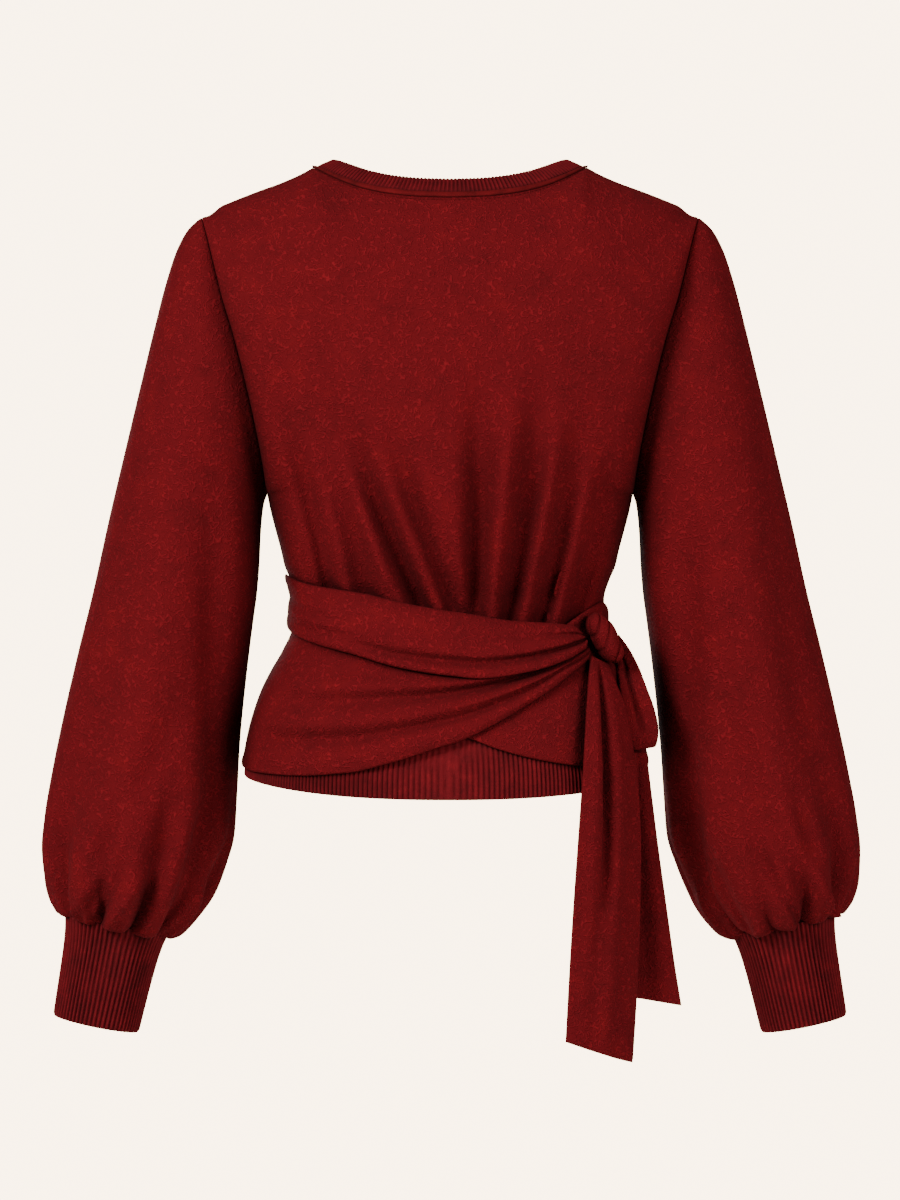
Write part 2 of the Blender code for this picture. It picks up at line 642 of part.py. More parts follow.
def armhole_frame(angle):
    """Two unit vectors at the left armhole seam: out of the garment along the seam's own
    surface, and across the seam, away from the body."""
    step = 1e-3
    run = unit(armhole(angle + step) - armhole(angle - step))
    point = armhole(angle)
    z = point[..., 2]
    lean = (ARMHOLE.at(z + step, "x") - ARMHOLE.at(z - step, "x")) / (2 * step)
    upright = unit(np.stack([-lean, np.zeros_like(z), np.ones_like(z)], axis=-1))
    across = np.cross(upright, np.array([0.0, 1.0, 0.0]))
    across *= np.sign(-across[..., 0:1])
    out = unit(np.cross(run, across))
    centre = np.array([0.0, 0.0, (UNDERARM_Z + SHOULDER_TIP[2]) / 2])
    radial = (point - centre) * np.array([0.0, 1.0, 1.0])
    out *= np.sign(np.sum(out * radial, axis=-1, keepdims=True))
    return out, across


def seam_directions(rows, face, side):
    """Normals for a panel's edge, shared with the piece across the seam, and the way
    from the seam into the panel."""
    high = np.clip(rows, 0, 1)
    sign = -1.0 if face == "back" else 1.0
    angle = np.pi * high if face == "back" else 2 * np.pi - np.pi * high
    out, across = armhole_frame(angle)
    lower = (rows < -1e-9)[:, None]
    out = np.where(lower, np.array([-1.0, 0.0, 0.0]), out)
    into = np.where(lower, np.array([0.0, sign, 0.0]), -across)
    mirror = np.array([-side, 1.0, 1.0])
    return out * mirror, into * mirror


def body_panel(name, face, columns, rows, material, lift=None):
    """The back, or a front up to its free edge, as a wall.

    columns and rows are grids of the same shape; lift moves points into the body.
    """
    row_list = rows[:, 0]
    outer = body_point(columns, rows, face)
    sign = -1.0 if face == "back" else 1.0
    axis = outer * np.array([1.0, 1.0, 0.0])
    axis[..., 2] = 0.03 + 0.12 * np.clip(rows, 0, 1)
    normals = grid_normals(outer, False, axis)
    for edge in (0, -1):
        side = columns[0, edge]
        if abs(abs(side) - 1) < 1e-6:
            out, into = seam_directions(row_list, face, np.sign(side))
            normals[:, edge] = out
            outer[:, edge] += into * SEAM_GAP / 2
            outer[row_list == 0, edge] += np.array([0.0, sign, 0.0]) * SEAM_GAP / 2
    normals[0] = unit(normals[0] * np.array([1.0, 1.0, 0.0]))
    top = np.abs(columns[-1])
    shoulder = (top > NECK_COLUMN - 1e-6) & (top < 1 - 1e-6)
    normals[-1, shoulder] = unit(normals[-1, shoulder] * np.array([1.0, 0.0, 1.0]))
    if lift is not None:
        outer = outer - normals * lift[..., None]
    outer[-1] += np.array([0.0, sign * SEAM_GAP / 2, 0.0])
    inner = outer - normals * CLOTH
    return wall(name, outer, inner, material), outer, normals


def body_rows(upper):
    """Rows of a body panel, from the hem seam to the shoulder."""
    low = [(UNDERARM_Z - z) / (HEM_SEAM_Z - UNDERARM_Z) for z in PANEL_HEIGHTS]
    return np.array(low + list(np.linspace(0, 1, upper + 1)))


def under_lift(column, row):
    """How far the under front lies below the over front."""
    edge = FREE_EDGE.at(row, "column") - 0.26
    deep = FRONT_LAYER - 0.0020 * smooth(-1.4 * row - 0.2)
    return deep * smooth((column - edge) / 0.12) * smooth((1.0 - row) * 6)


def front_panel(name, rows, material, over):
    """One crossed front, from its side seam and armhole to its free edge."""
    share = np.linspace(0, 1, FRONT_COLUMNS + 1) ** 0.85
    free = FREE_EDGE.at(rows, "column")[:, None]
    columns = free + (1 - free) * share[None, :]
    grid_rows = np.repeat(rows[:, None], columns.shape[1], axis=1)
    if over:
        return body_panel(name, "front", columns, grid_rows, material)
    columns = -columns[:, ::-1]
    return body_panel(name, "front", columns, grid_rows, material, under_lift(columns, grid_rows))


# ---------------------------------------------------------------- sleeves and cuffs
def sleeve_point(angle, ring):
    """Point of the left sleeve's outer face; angle as for the armhole."""
    angle, ring = np.broadcast_arrays(np.asarray(angle, float), np.asarray(ring, float))

    def oval(number):
        outer_x, outer_z = SLEEVE.at(number, "outer_x"), SLEEVE.at(number, "outer_z")
        inner_x, inner_z = SLEEVE.at(number, "inner_x"), SLEEVE.at(number, "inner_z")
        middle_x, middle_z = (outer_x + inner_x) / 2, (outer_z + inner_z) / 2
        half_x, half_z = (outer_x - inner_x) / 2, (outer_z - inner_z) / 2
        x = -(middle_x - half_x * np.cos(angle))
        z = middle_z - half_z * np.cos(angle)
        y = SLEEVE.at(number, "mid_y") - SLEEVE.at(number, "depth") * np.sin(angle)
        return np.stack([x, y, z], axis=-1)

    point = oval(ring)
    first = armhole(angle) - oval(np.zeros_like(ring))
    point = point + first * (1 - smooth(ring / 5))[..., None]
    middle = np.stack(
        [
            -(SLEEVE.at(ring, "outer_x") + SLEEVE.at(ring, "inner_x")) / 2,
            SLEEVE.at(ring, "mid_y"),
            (SLEEVE.at(ring, "outer_z") + SLEEVE.at(ring, "inner_z")) / 2,
        ],
        axis=-1,
    )
    wave = np.cos(GATHERS * angle + 0.9 * np.sin(2 * angle) + 0.4)
    swell = smooth((ring - 11.0) / 4.0) * (1 - 0.75 * smooth((ring - 15.6) / 1.4))
    return point + unit(point - middle) * (wave * swell * GATHER_DEPTH)[..., None]


def sleeve(name, side, material):
    """A sleeve from its armhole to the cuff seam; side is -1 for the wearer's left."""
    angles = np.arange(SLEEVE_SIDES) * 2 * np.pi / SLEEVE_SIDES
    grid_angles, grid_rings = np.meshgrid(angles, SLEEVE_RINGS)
    outer = sleeve_point(grid_angles, grid_rings)
    middle = outer.mean(axis=1, keepdims=True)
    normals = grid_normals(outer, True, outer - middle)
    out, across = armhole_frame(angles)
    normals[0] = out
    outer[0] += across * SEAM_GAP / 2
    inner = outer - normals * CLOTH
    mirror = np.array([-side, 1.0, 1.0])
    return wall(name, outer * mirror, inner * mirror, material, closed=True)


def rib_wave(count):
    """Two values for each rib: 0 on its crest and 1 in the valley beside it."""
    return np.tile([0.0, 1.0], count)


def cuff(name, side, material):
    """A ribbed cuff below a sleeve, narrowing to the wrist."""
    angles = np.arange(2 * CUFF_RIBS) * np.pi / CUFF_RIBS
    last = SLEEVE.keys[-1]
    top = np.array(
        [
            -(SLEEVE.at(last, "outer_x") + SLEEVE.at(last, "inner_x")) / 2,
            SLEEVE.at(last, "mid_y"),
            (SLEEVE.at(last, "outer_z") + SLEEVE.at(last, "inner_z")) / 2,
        ]
    )
    end = np.array(CUFF_END)
    axis = unit(end - top)
    sideways = unit(np.array([axis[2], 0.0, -axis[0]]))
    forward = np.array([0.0, 1.0, 0.0])
    outer, inner = [], []
    start = top + axis * CUFF_GAP
    for share, wide, deep in ((0.0, *CUFF_TOP_HALF), (1.0, *CUFF_END_HALF)):
        centre = start + (end - start) * share
        round_x, round_y = np.cos(angles)[:, None] * sideways, np.sin(angles)[:, None] * forward
        rib = RIB_RELIEF * rib_wave(CUFF_RIBS)[:, None]
        outer.append(centre + round_x * (wide - rib) - round_y * (deep - rib))
        inner.append((centre + round_x * (wide - RIB_CLOTH) - round_y * (deep - RIB_CLOTH))[::2])
    mirror = np.array([-side, 1.0, 1.0])
    return ribbed_wall(name, np.array(outer) * mirror, np.array(inner) * mirror, material)


def hem_band(name, material):
    """The ribbed band below the fronts and the back, a closed ring."""
    angles = np.arange(2 * HEM_RIBS) * 180.0 / HEM_RIBS
    drop = np.where(np.sin(np.radians(angles)) > 0, HEM_BACK_DROP, HEM_FRONT_DROP)
    low = HEM_SIDE_Z - drop * np.abs(np.sin(np.radians(angles))) ** 1.5
    high = np.full_like(low, HEM_SEAM_Z - SEAM_GAP)
    outer, inner = [], []
    for z in (high, low):
        outer.append(ring_point(angles, z, -RIB_RELIEF * rib_wave(HEM_RIBS)))
        inner.append(ring_point(angles, z, -RIB_CLOTH)[::2])
    return ribbed_wall(name, np.array(outer), np.array(inner), material)


# ---------------------------------------------------------------- neckband
def neck_path(back, over, under, columns, rows):
    """Lower edge of the neckband and the direction across it, from the hem seam up the
    over front, round the back neck and down the under front."""
    steep = np.radians(NECK_LEAN)
    lower, across = [], []
    for panel, edge, near, side in ((over, 0, 1, 1.0), (under, -1, -2, -1.0)):
        point, inside = panel[:, edge], panel[:, near]
        run = unit(np.gradient(point, axis=0))
        out = unit(point - inside)
        out[:, 2] *= smooth((rows + 1) / 0.2)
        out = unit(out - run * np.sum(out * run, axis=1, keepdims=True))
        out[0, 2] = 0.0
        neck = np.array([-side * np.cos(steep), 0.0, np.sin(steep)])
        turn = smooth((rows - 0.5) / 0.48)[:, None]
        lower.append(point)
        across.append(unit(out * (1 - turn) + neck * turn))
    kept = rows > UNDER_BAND_FROM
    picked = np.where(np.abs(columns) <= NECK_COLUMN + 1e-6)[0][::-1]
    point = back[-1][picked]
    turn = np.arccos(np.clip(columns[picked] / NECK_COLUMN, -1, 1))
    inward = unit(np.stack([-np.cos(turn), 0.85 * np.sin(turn), np.zeros_like(turn)], axis=-1))
    lean = np.radians(NECK_LEAN + NECK_BACK_LEAN * np.sin(turn))[:, None]
    rise = inward * np.cos(lean) + np.array([0.0, 0.0, 1.0]) * np.sin(lean)
    path = np.concatenate([lower[0], point, lower[1][kept][::-1]])
    span = np.concatenate([across[0], rise, across[1][kept][::-1]])
    return path + span * SEAM_GAP * 1.6, span


def neckband(name, path, span, material):
    """The ribbed band along the whole neck edge, one strip."""
    run = np.concatenate([[0], np.cumsum(np.linalg.norm(np.diff(path, axis=0), axis=1))])
    ribs = int(run[-1] / NECK_RIB_PITCH)
    even = np.linspace(0, run[-1], 2 * ribs + 1)
    low = np.stack([np.interp(even, run, path[:, i]) for i in range(3)], axis=-1)
    across = unit(np.stack([np.interp(even, run, span[:, i]) for i in range(3)], axis=-1))
    along = unit(np.gradient(low, axis=0))
    along = unit(along - across * np.sum(along * across, axis=1, keepdims=True))
    normal = np.cross(across, along)
    middle = np.array([0.0, 0.01, -0.05])
    flip = np.sign(np.sum(normal * (low - middle), axis=1).mean())
    normal = normal * flip
    valley = (np.arange(2 * ribs + 1) % 2)[:, None] * RIB_RELIEF
    outer, inner = [], []
    for share in (0.0, 1.0):
        edge = low + across * NECKBAND_WIDTH * share
        outer.append(edge - normal * valley)
        inner.append((edge - normal * RIB_CLOTH)[::2])
    outer, inner = np.array(outer), np.array(inner)
    for face in (outer, inner):
        face[..., 2] = np.maximum(face[..., 2], HEM_SEAM_Z)
    return ribbed_wall(name, outer, inner, material, closed=False)


# ---------------------------------------------------------------- wrap panels
def wrap_point(name, angle, place, lift):
    """Point of a wrap panel, `lift` out from its inner face."""
    table = WRAPS[name]
    top, bottom = table.at(angle, "top"), table.at(angle, "bottom")
    z = top + (bottom - top) * place
    off = table.at(angle, "top_lift") * (1 - place) + table.at(angle, "bottom_lift") * place
    inset = np.clip((place - 0.12) / 0.88, 0, 1) if name == "wrap_lower" else place
    off = off + table.at(angle, "swell") * np.sin(np.pi * inset)
    for start, end, place_from, place_to, width, depth in WRAP_TROUGHS[name]:
        share = np.clip((angle - start) / (end - start), 0, 1)
        strength = np.sin(np.pi * share) ** 0.6
        middle = place_from + (place_to - place_from) * share
        dent = depth * strength * np.exp(-(((place - middle) / width) ** 2))
        off = off - dent * smooth((off - LAYER_GAP) / 0.004)
    return ring_point(angle, z, off + lift)


def wrap_panel(name, columns, material):
    """A wrap panel as a wall over the body."""
    table = WRAPS[name]
    body_angles = np.degrees(np.arccos(np.clip(-np.sign(columns) * np.abs(columns) ** 1.15, -1, 1)))
    inside = (body_angles > table.keys[0] + 1.5) & (body_angles < table.keys[-1] - 1.5)
    angles = np.concatenate([[table.keys[0]], body_angles[inside], [table.keys[-1]]])
    places = np.linspace(0, 1, WRAP_ROWS[name])
    grid_angles, grid_places = np.meshgrid(angles, places)
    inner = wrap_point(name, grid_angles, grid_places, 0.0)
    outer = wrap_point(name, grid_angles, grid_places, CLOTH)
    return wall(name, outer, inner, material)


# ---------------------------------------------------------------- knot, bow and tails
def body_reach(x, z):
    """How far back (-Y) the lower body comes at x and z, level to the side of it."""
    half = lower_half(z, x)
    share = np.clip(np.abs(x) / half, 0, 0.955)
    return SIDE_SEAM_Y - (BODY.at(z, "back") + SIDE_SEAM_Y) * (1 - share**SQUARE) ** (1 / SQUARE)


def strip_grid(name, rows, columns):
    """Points and normals of a hanging strip's outer face, with its pleats pressed in."""
    table = STRIPS[name]
    run = np.linspace(0, 1, rows)[:, None]
    share = np.linspace(0, 1, columns)[None, :]
    x = table.at(run, "left_x") * (1 - share) + table.at(run, "right_x") * share
    z = table.at(run, "left_z") * (1 - share) + table.at(run, "right_z") * share
    off = table.at(run, "left_off") * (1 - share) + table.at(run, "right_off") * share
    held = np.maximum(z, HANG_FROM_Z)
    ends = [body_reach(table.at(run, e + "_x"), held) for e in ("left", "right")]
    flat = ends[0] * (1 - share) + ends[1] * share
    near = body_reach(x, held)
    y = near + (np.minimum(flat, near) - near) * STRIP_FLAT[name] - off
    points = np.stack([x, y, z], axis=-1)
    normals = unit(np.cross(np.gradient(points, axis=1), np.gradient(points, axis=0)))
    if normals[0, columns // 2, 1] > 0:
        normals = -normals
    for start, end, place_from, place_to, width, depth in STRIP_PLEATS[name]:
        part = np.clip((run - start) / (end - start), 0, 1)
        middle = place_from + (place_to - place_from) * part
        dent = depth * np.sin(np.pi * part) ** 0.6 * np.exp(-(((share - middle) / width) ** 2))
        points = points - normals * dent[..., None]
    return points, normals


def strip(name, rows, columns, material):
    """A hanging strip as a wall, rounded a little to the back at both edges."""
    points, normals = strip_grid(name, rows, columns)
    return wall(name, points, points - normals * CLOTH, material)


def knot(name, material):
    """The knot: a rounded lump with the turns of the cloth pressed into it."""
    rings, sides = 9, 16
    centre, half = np.array(KNOT_CENTRE), np.array(KNOT_HALF)
    vertices = [centre + np.array([0.0, 0.0, half[2]])]
    for i in range(1, rings):
        high = np.pi * i / rings
        for j in range(sides):
            turn = 2 * np.pi * j / sides
            across = math.sin(high) ** 0.8
            dent = 1 - 0.10 * math.cos(3 * high + 1.5 * math.cos(turn)) * across
            x = math.cos(turn) * across * dent
            y = math.sin(turn) * across * dent
            vertices.append(centre + half * np.array([x, y, math.cos(high)]))
    vertices.append(centre - np.array([0.0, 0.0, half[2]]))
    faces = []
    for j in range(sides):
        k = (j + 1) % sides
        faces.append((0, 1 + j, 1 + k))
        foot = 1 + (rings - 2) * sides
        faces.append((foot + j, len(vertices) - 1, foot + k))
        for i in range(rings - 2):
            a, b = 1 + i * sides + j, 1 + i * sides + k
            faces.extend([(a, a + sides, b + sides), (a, b + sides, b)])
    lean = math.radians(KNOT_LEAN)
    turned = []
    for x, y, z in vertices:
        dx, dz = x - centre[0], z - centre[2]
        turned.append(
            (
                centre[0] + dx * math.cos(lean) - dz * math.sin(lean),
                y,
                centre[2] + dx * math.sin(lean) + dz * math.cos(lean),
            )
        )
    return triangulated(name, turned, faces, material)


def neck_tape(name, panel_outer, panel_normals, columns, rows, material):
    """The narrow tape laid on the back just below the neckband."""
    picked_rows = [int(np.argmin(np.abs(rows - value))) for value in TAPE_ROWS]
    picked = np.where(np.abs(columns) <= NECK_COLUMN + 0.01)[0]
    base = panel_outer[picked_rows][:, picked]
    normals = panel_normals[picked_rows][:, picked]
    inner = base + normals * SEAM_GAP
    return wall(name, inner + normals * TAPE_CLOTH, inner, material)


def main():
    for old in list(bpy.data.objects):
        bpy.data.objects.remove(old, do_unlink=True)

    knit = cloth("brushed_knit", RED, 0.92)
    rib = cloth("rib_knit", RIB_RED, 0.88)

    def own(material, name):
        copy = material.copy()
        copy.name = name
        return copy

    columns = even_columns(BODY_COLUMNS)
    rows = np.sort(np.concatenate([body_rows(UPPER_ROWS), TAPE_ROWS]))
    grid_columns, grid_rows = np.meshgrid(columns, rows)
    _, back, back_normals = body_panel("back", "back", grid_columns, grid_rows, own(knit, "back_knit"))
    neck_tape("neck_tape", back, back_normals, columns, rows, own(knit, "tape_knit"))
    rows = body_rows(UPPER_ROWS)
    _, over, _ = front_panel("front_over", rows, own(knit, "front_over_knit"), True)
    _, under, _ = front_panel("front_under", rows, own(knit, "front_under_knit"), False)
    path, span = neck_path(back, over, under, columns, rows)
    neckband("neckband", path, span, own(rib, "neckband_rib"))
    hem_band("hem_band", own(rib, "hem_rib"))
    for side, word in ((-1, "left"), (1, "right")):
        sleeve("sleeve_" + word, side, own(knit, "sleeve_knit_" + word))
        cuff("cuff_" + word, side, own(rib, "cuff_rib_" + word))
    for name in WRAPS:
        wrap_panel(name, columns, own(knit, name + "_knit"))
    knot("knot", own(knit, "knot_knit"))
    strip("bow_loop", 25, 5, own(knit, "bow_loop_knit"))
    strip("tail_front", 15, 8, own(knit, "tail_front_knit"))
    strip("tail_back", 9, 6, own(knit, "tail_back_knit"))


main()
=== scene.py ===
"""Dresses the wrap top: brushed knit panels, rib knit bands, the wrap and its bow.

Each piece is a thin closed wall in the same place as the solid that it stands for, built
again from the same sizes with a finer grid, softer folds and its stitching. Lengths are
in metres, +Z is up, the back of the garment faces -Y and the wearer's left is -X.
"""

import logging
import math
from dataclasses import dataclass, field
from enum import Enum
from typing import Any, Iterable, Sequence

import bpy
import numpy as np
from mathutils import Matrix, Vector

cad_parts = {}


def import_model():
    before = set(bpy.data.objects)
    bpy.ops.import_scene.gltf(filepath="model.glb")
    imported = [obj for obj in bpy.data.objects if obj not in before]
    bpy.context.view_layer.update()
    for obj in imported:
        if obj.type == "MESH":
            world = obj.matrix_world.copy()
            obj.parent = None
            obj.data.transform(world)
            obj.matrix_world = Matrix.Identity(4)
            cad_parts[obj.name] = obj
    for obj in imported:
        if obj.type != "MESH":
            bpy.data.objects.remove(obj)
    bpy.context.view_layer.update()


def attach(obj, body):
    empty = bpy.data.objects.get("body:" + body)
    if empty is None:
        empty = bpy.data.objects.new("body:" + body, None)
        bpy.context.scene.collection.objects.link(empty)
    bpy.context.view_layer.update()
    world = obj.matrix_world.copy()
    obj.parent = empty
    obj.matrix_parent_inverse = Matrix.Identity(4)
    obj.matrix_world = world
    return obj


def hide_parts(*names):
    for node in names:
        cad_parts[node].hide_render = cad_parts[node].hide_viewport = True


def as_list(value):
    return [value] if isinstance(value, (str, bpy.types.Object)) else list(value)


LOG = logging.getLogger("wrap_top")
ROOT = "root"
MM = 0.001

CLOTH = 2.0 * MM
RIB_CLOTH = 2.6 * MM
SEAM_GAP = 0.3 * MM
SHOULDER_LAP = 1.2 * MM  # the back and fronts overlap here, so that no light shows


# ---------------------------------------------------------------- mathematics
def smooth(t: Any) -> Any:
    """Soft step from 0 to 1."""
    t = np.clip(t, 0.0, 1.0)
    return t * t * (3.0 - 2.0 * t)


def unit(vectors: np.ndarray) -> np.ndarray:
    """Vectors of length one."""
    size = np.linalg.norm(vectors, axis=-1, keepdims=True)
    return vectors / np.maximum(size, 1e-12)


def bump_of(distance: Any, width: float) -> Any:
    """Bell-shaped height, 1 at no distance and near 0 beyond two widths."""
    return np.exp(-((distance / width) ** 2))


class Table:
    """Rows of named sizes, read smoothly between the rows along the first column."""

    def __init__(self, columns: str, rows: Iterable[Sequence[float]]) -> None:
        """Keeps the rows in the order of their first column.

        Args:
            columns: The columns' names, apart by spaces.
            rows: One row of numbers for each station.
        """
        data = np.array(sorted(rows), dtype=float)
        self.keys = data[:, 0]
        self.values = {name: data[:, i] for i, name in enumerate(columns.split())}

    def at(self, key: Any, name: str) -> np.ndarray:
        """Reads one column with a monotone cubic.

        Args:
            key: A station or an array of stations.
            name: The column's name.

        Returns:
            The column's value at each station.
        """
        x, y = self.keys, self.values[name]
        key = np.clip(np.asarray(key, dtype=float), x[0], x[-1])
        step = np.diff(x)
        rise = np.diff(y) / step
        slope = np.empty_like(y)
        slope[0], slope[-1] = rise[0], rise[-1]
        with np.errstate(divide="ignore", invalid="ignore"):
            mean = 2.0 * rise[:-1] * rise[1:] / (rise[:-1] + rise[1:])
        slope[1:-1] = np.where(rise[:-1] * rise[1:] > 0, mean, 0.0)
        i = np.clip(np.searchsorted(x, key) - 1, 0, len(step) - 1)
        h = step[i]
        t = (key - x[i]) / h
        return (
            y[i] * (2 * t**3 - 3 * t**2 + 1)
            + slope[i] * h * (t**3 - 2 * t**2 + t)
            + y[i + 1] * (3 * t**2 - 2 * t**3)
            + slope[i + 1] * h * (t**3 - t**2)
        )


@dataclass(frozen=True)
class Fold:
    """A long soft fold in a panel, seen from the back.

    x and z at its upper and lower end, the bow to the side half way, its half width and
    its depth at the lower end: above 0 a trough, below 0 a ridge. `ease` is the share of
    its length over which it comes in at the top.
    """

    x_top: float
    z_top: float
    x_low: float
    z_low: float
    bow: float
    width: float
    depth: float
    ease: float = 0.8

    def dent(self, x: np.ndarray, z: np.ndarray) -> np.ndarray:
        """Depth of the fold at points x, z."""
        along = np.clip((self.z_top - z) / (self.z_top - self.z_low), -0.5, 1.3)
        held = np.clip(along, 0, 1)
        middle = self.x_top + (self.x_low - self.x_top) * along + self.bow * np.sin(np.pi * held)
        fade = smooth((along + 0.1) / self.ease)
        spread = self.width * (1.25 - 0.45 * held)
        return self.depth * fade * bump_of(x - middle, spread)


class Face(Enum):
    """The two sides of the body."""

    BACK = "back"
    FRONT = "front"

    @property
    def sign(self) -> float:
        """Which way along Y this side of the body faces."""
        return -1.0 if self is Face.BACK else 1.0


# ---------------------------------------------------------------- the shape of the body
@dataclass
class BodyShape:
    """The surface of the body panels: one oval tube below the underarm, and above it a
    back and a front that span between the armholes and turn over the shoulders."""

    underarm_z: float = -0.2512
    hem_seam_z: float = -0.434
    side_seam_y: float = 0.004
    shoulder_tip_x: float = 0.1935
    shoulder_tip_z: float = -0.0351
    neck_point_x: float = 0.1065
    neck_back_depth: float = 0.066
    neck_column: float = 0.63
    armhole_back: float = 0.052
    armhole_front: float = 0.056
    square: float = 2.3
    sections: Table = field(
        default_factory=lambda: Table(
            "z half_width back front",
            [
                (-0.2512, 0.1427, 0.0985, 0.1230),
                (-0.2636, 0.1402, 0.0975, 0.1220),
                (-0.2792, 0.1362, 0.0955, 0.1175),
                (-0.2948, 0.1320, 0.0925, 0.1110),
                (-0.3070, 0.1292, 0.0895, 0.1050),
                (-0.3180, 0.1245, 0.0860, 0.0990),
                (-0.3330, 0.1203, 0.0825, 0.0950),
                (-0.3550, 0.1203, 0.0830, 0.0955),
                (-0.3730, 0.1275, 0.0885, 0.0990),
                (-0.3880, 0.1362, 0.0945, 0.1030),
                (-0.4040, 0.1442, 0.1010, 0.1070),
                (-0.4200, 0.1500, 0.1065, 0.1100),
                (-0.4340, 0.1540, 0.1105, 0.1120),
                (-0.4510, 0.1575, 0.1140, 0.1130),
                (-0.4705, 0.1608, 0.1160, 0.1130),
                (-0.4900, 0.1615, 0.1165, 0.1130),
            ],
        )
    )
    chest: Table = field(
        default_factory=lambda: Table(
            "z back front",
            [
                (-0.2512, 0.0985, 0.1230),
                (-0.2250, 0.1010, 0.1220),
                (-0.1900, 0.1035, 0.1160),
                (-0.1500, 0.1040, 0.1060),
                (-0.1100, 0.1025, 0.0950),
                (-0.0700, 0.0985, 0.0850),
                (-0.0300, 0.0930, 0.0770),
                (0.0000, 0.0900, 0.0720),
            ],
        )
    )
    armhole_line: Table = field(
        default_factory=lambda: Table(
            "z x",
            [
                (-0.2512, 0.1427),
                (-0.2363, 0.1440),
                (-0.2036, 0.1494),
                (-0.1638, 0.1580),
                (-0.1287, 0.1670),
                (-0.1006, 0.1756),
                (-0.0741, 0.1824),
                (-0.0476, 0.1895),
                (-0.0351, 0.1935),
            ],
        )
    )
    neckline: Table = field(
        default_factory=lambda: Table(
            "x z",
            [
                (0.0000, -0.0214),
                (0.0250, -0.0205),
                (0.0484, -0.0178),
                (0.0700, -0.0128),
                (0.0819, -0.0085),
                (0.0950, -0.0027),
                (0.1065, 0.0030),
            ],
        )
    )

    shoulder_line: Table = field(
        default_factory=lambda: Table(
            "x z",
            [
                (0.1065, 0.0030),
                (0.1170, -0.0026),
                (0.1326, -0.0093),
                (0.1480, -0.0148),
                (0.1716, -0.0240),
                (0.1870, -0.0306),
                (0.1935, -0.0351),
            ],
        )
    )

    knot_draw: float = 7.5 * MM
    knot_draw_z: tuple[float, float] = (-0.395, -0.445)

    def lower_half(self, z: np.ndarray, x: np.ndarray) -> np.ndarray:
        """Half width of the lower body at z on the side of x, drawn in beside the knot."""
        start, full = self.knot_draw_z
        draw = self.knot_draw * smooth((start - z) / (start - full))
        return self.sections.at(z, "half_width") - np.where(x > 0, draw, 0.0)

    def armhole(self, angle: np.ndarray) -> np.ndarray:
        """Point of the left armhole seam.

        Args:
            angle: 0 underarm, pi/2 back, pi shoulder, 3pi/2 front.
        """
        share = (1 - np.cos(angle)) / 2
        z = self.underarm_z + (self.shoulder_tip_z - self.underarm_z) * share
        deep = np.where(np.sin(angle) > 0, self.armhole_back, self.armhole_front)
        swing = np.sign(np.sin(angle)) * np.abs(np.sin(angle)) ** 0.9
        y = self.side_seam_y * (1 - smooth(share)) - deep * swing
        return np.stack([-self.armhole_line.at(z, "x"), y, z], axis=-1)

    def armhole_frame(self, angle: np.ndarray) -> tuple[np.ndarray, np.ndarray]:
        """Unit vectors out of the garment along the left armhole seam's own surface, and
        across the seam, away from the body."""
        step = 1e-3
        run = unit(self.armhole(angle + step) - self.armhole(angle - step))
        point = self.armhole(angle)
        z = point[..., 2]
        line = self.armhole_line
        lean = (line.at(z + step, "x") - line.at(z - step, "x")) / (2 * step)
        upright = unit(np.stack([-lean, np.zeros_like(z), np.ones_like(z)], axis=-1))
        across = np.cross(upright, np.array([0.0, 1.0, 0.0]))
        across *= np.sign(-across[..., 0:1])
        out = unit(np.cross(run, across))
        centre = np.array([0.0, 0.0, (self.underarm_z + self.shoulder_tip_z) / 2])
        radial = (point - centre) * np.array([0.0, 1.0, 1.0])
        out *= np.sign(np.sum(out * radial, axis=-1, keepdims=True))
        return out, across

    def lateral(self, columns: np.ndarray, high: np.ndarray) -> np.ndarray:
        """Place of a column across a panel at a height of the upper body; at the top one
        column meets the neck point."""
        top_neck = self.neck_point_x / self.shoulder_tip_x
        size = np.abs(columns)
        inner = size * top_neck / self.neck_column
        outer = top_neck + (size - self.neck_column) * (1 - top_neck) / (1 - self.neck_column)
        top = np.where(size <= self.neck_column, inner, outer)
        return np.sign(columns) * (size + (top - size) * high)

    def swell(self, columns: np.ndarray) -> np.ndarray:
        """How far out a column lies between the side seam, 0, and the middle, 1."""
        return np.clip(1 - np.abs(columns) ** self.square, 0, 1) ** (1 / self.square)

    def point(
        self, column: np.ndarray, row: np.ndarray, face: Face, folds: Sequence[Fold] = ()
    ) -> np.ndarray:
        """Point of a body panel's outer face.

        Args:
            column: -1 at the left seam to 1 at the right one.
            row: -1 at the hem seam, 0 at the underarm, 1 at the shoulder.
            face: The back or the front.
            folds: Long folds pressed into the panel.

        Returns:
            Points as an array with a last axis of three.
        """
        column, row = np.broadcast_arrays(np.asarray(column, float), np.asarray(row, float))
        sign = face.sign
        low, high = np.clip(-row, 0, 1), np.clip(row, 0, 1)
        swell = self.swell(column)

        z_low = self.underarm_z + (self.hem_seam_z - self.underarm_z) * low
        x_low = self.lower_half(z_low, column) * column
        deep_low = self.sections.at(z_low, face.value) - sign * self.side_seam_y
        y_low = self.side_seam_y + sign * deep_low * swell

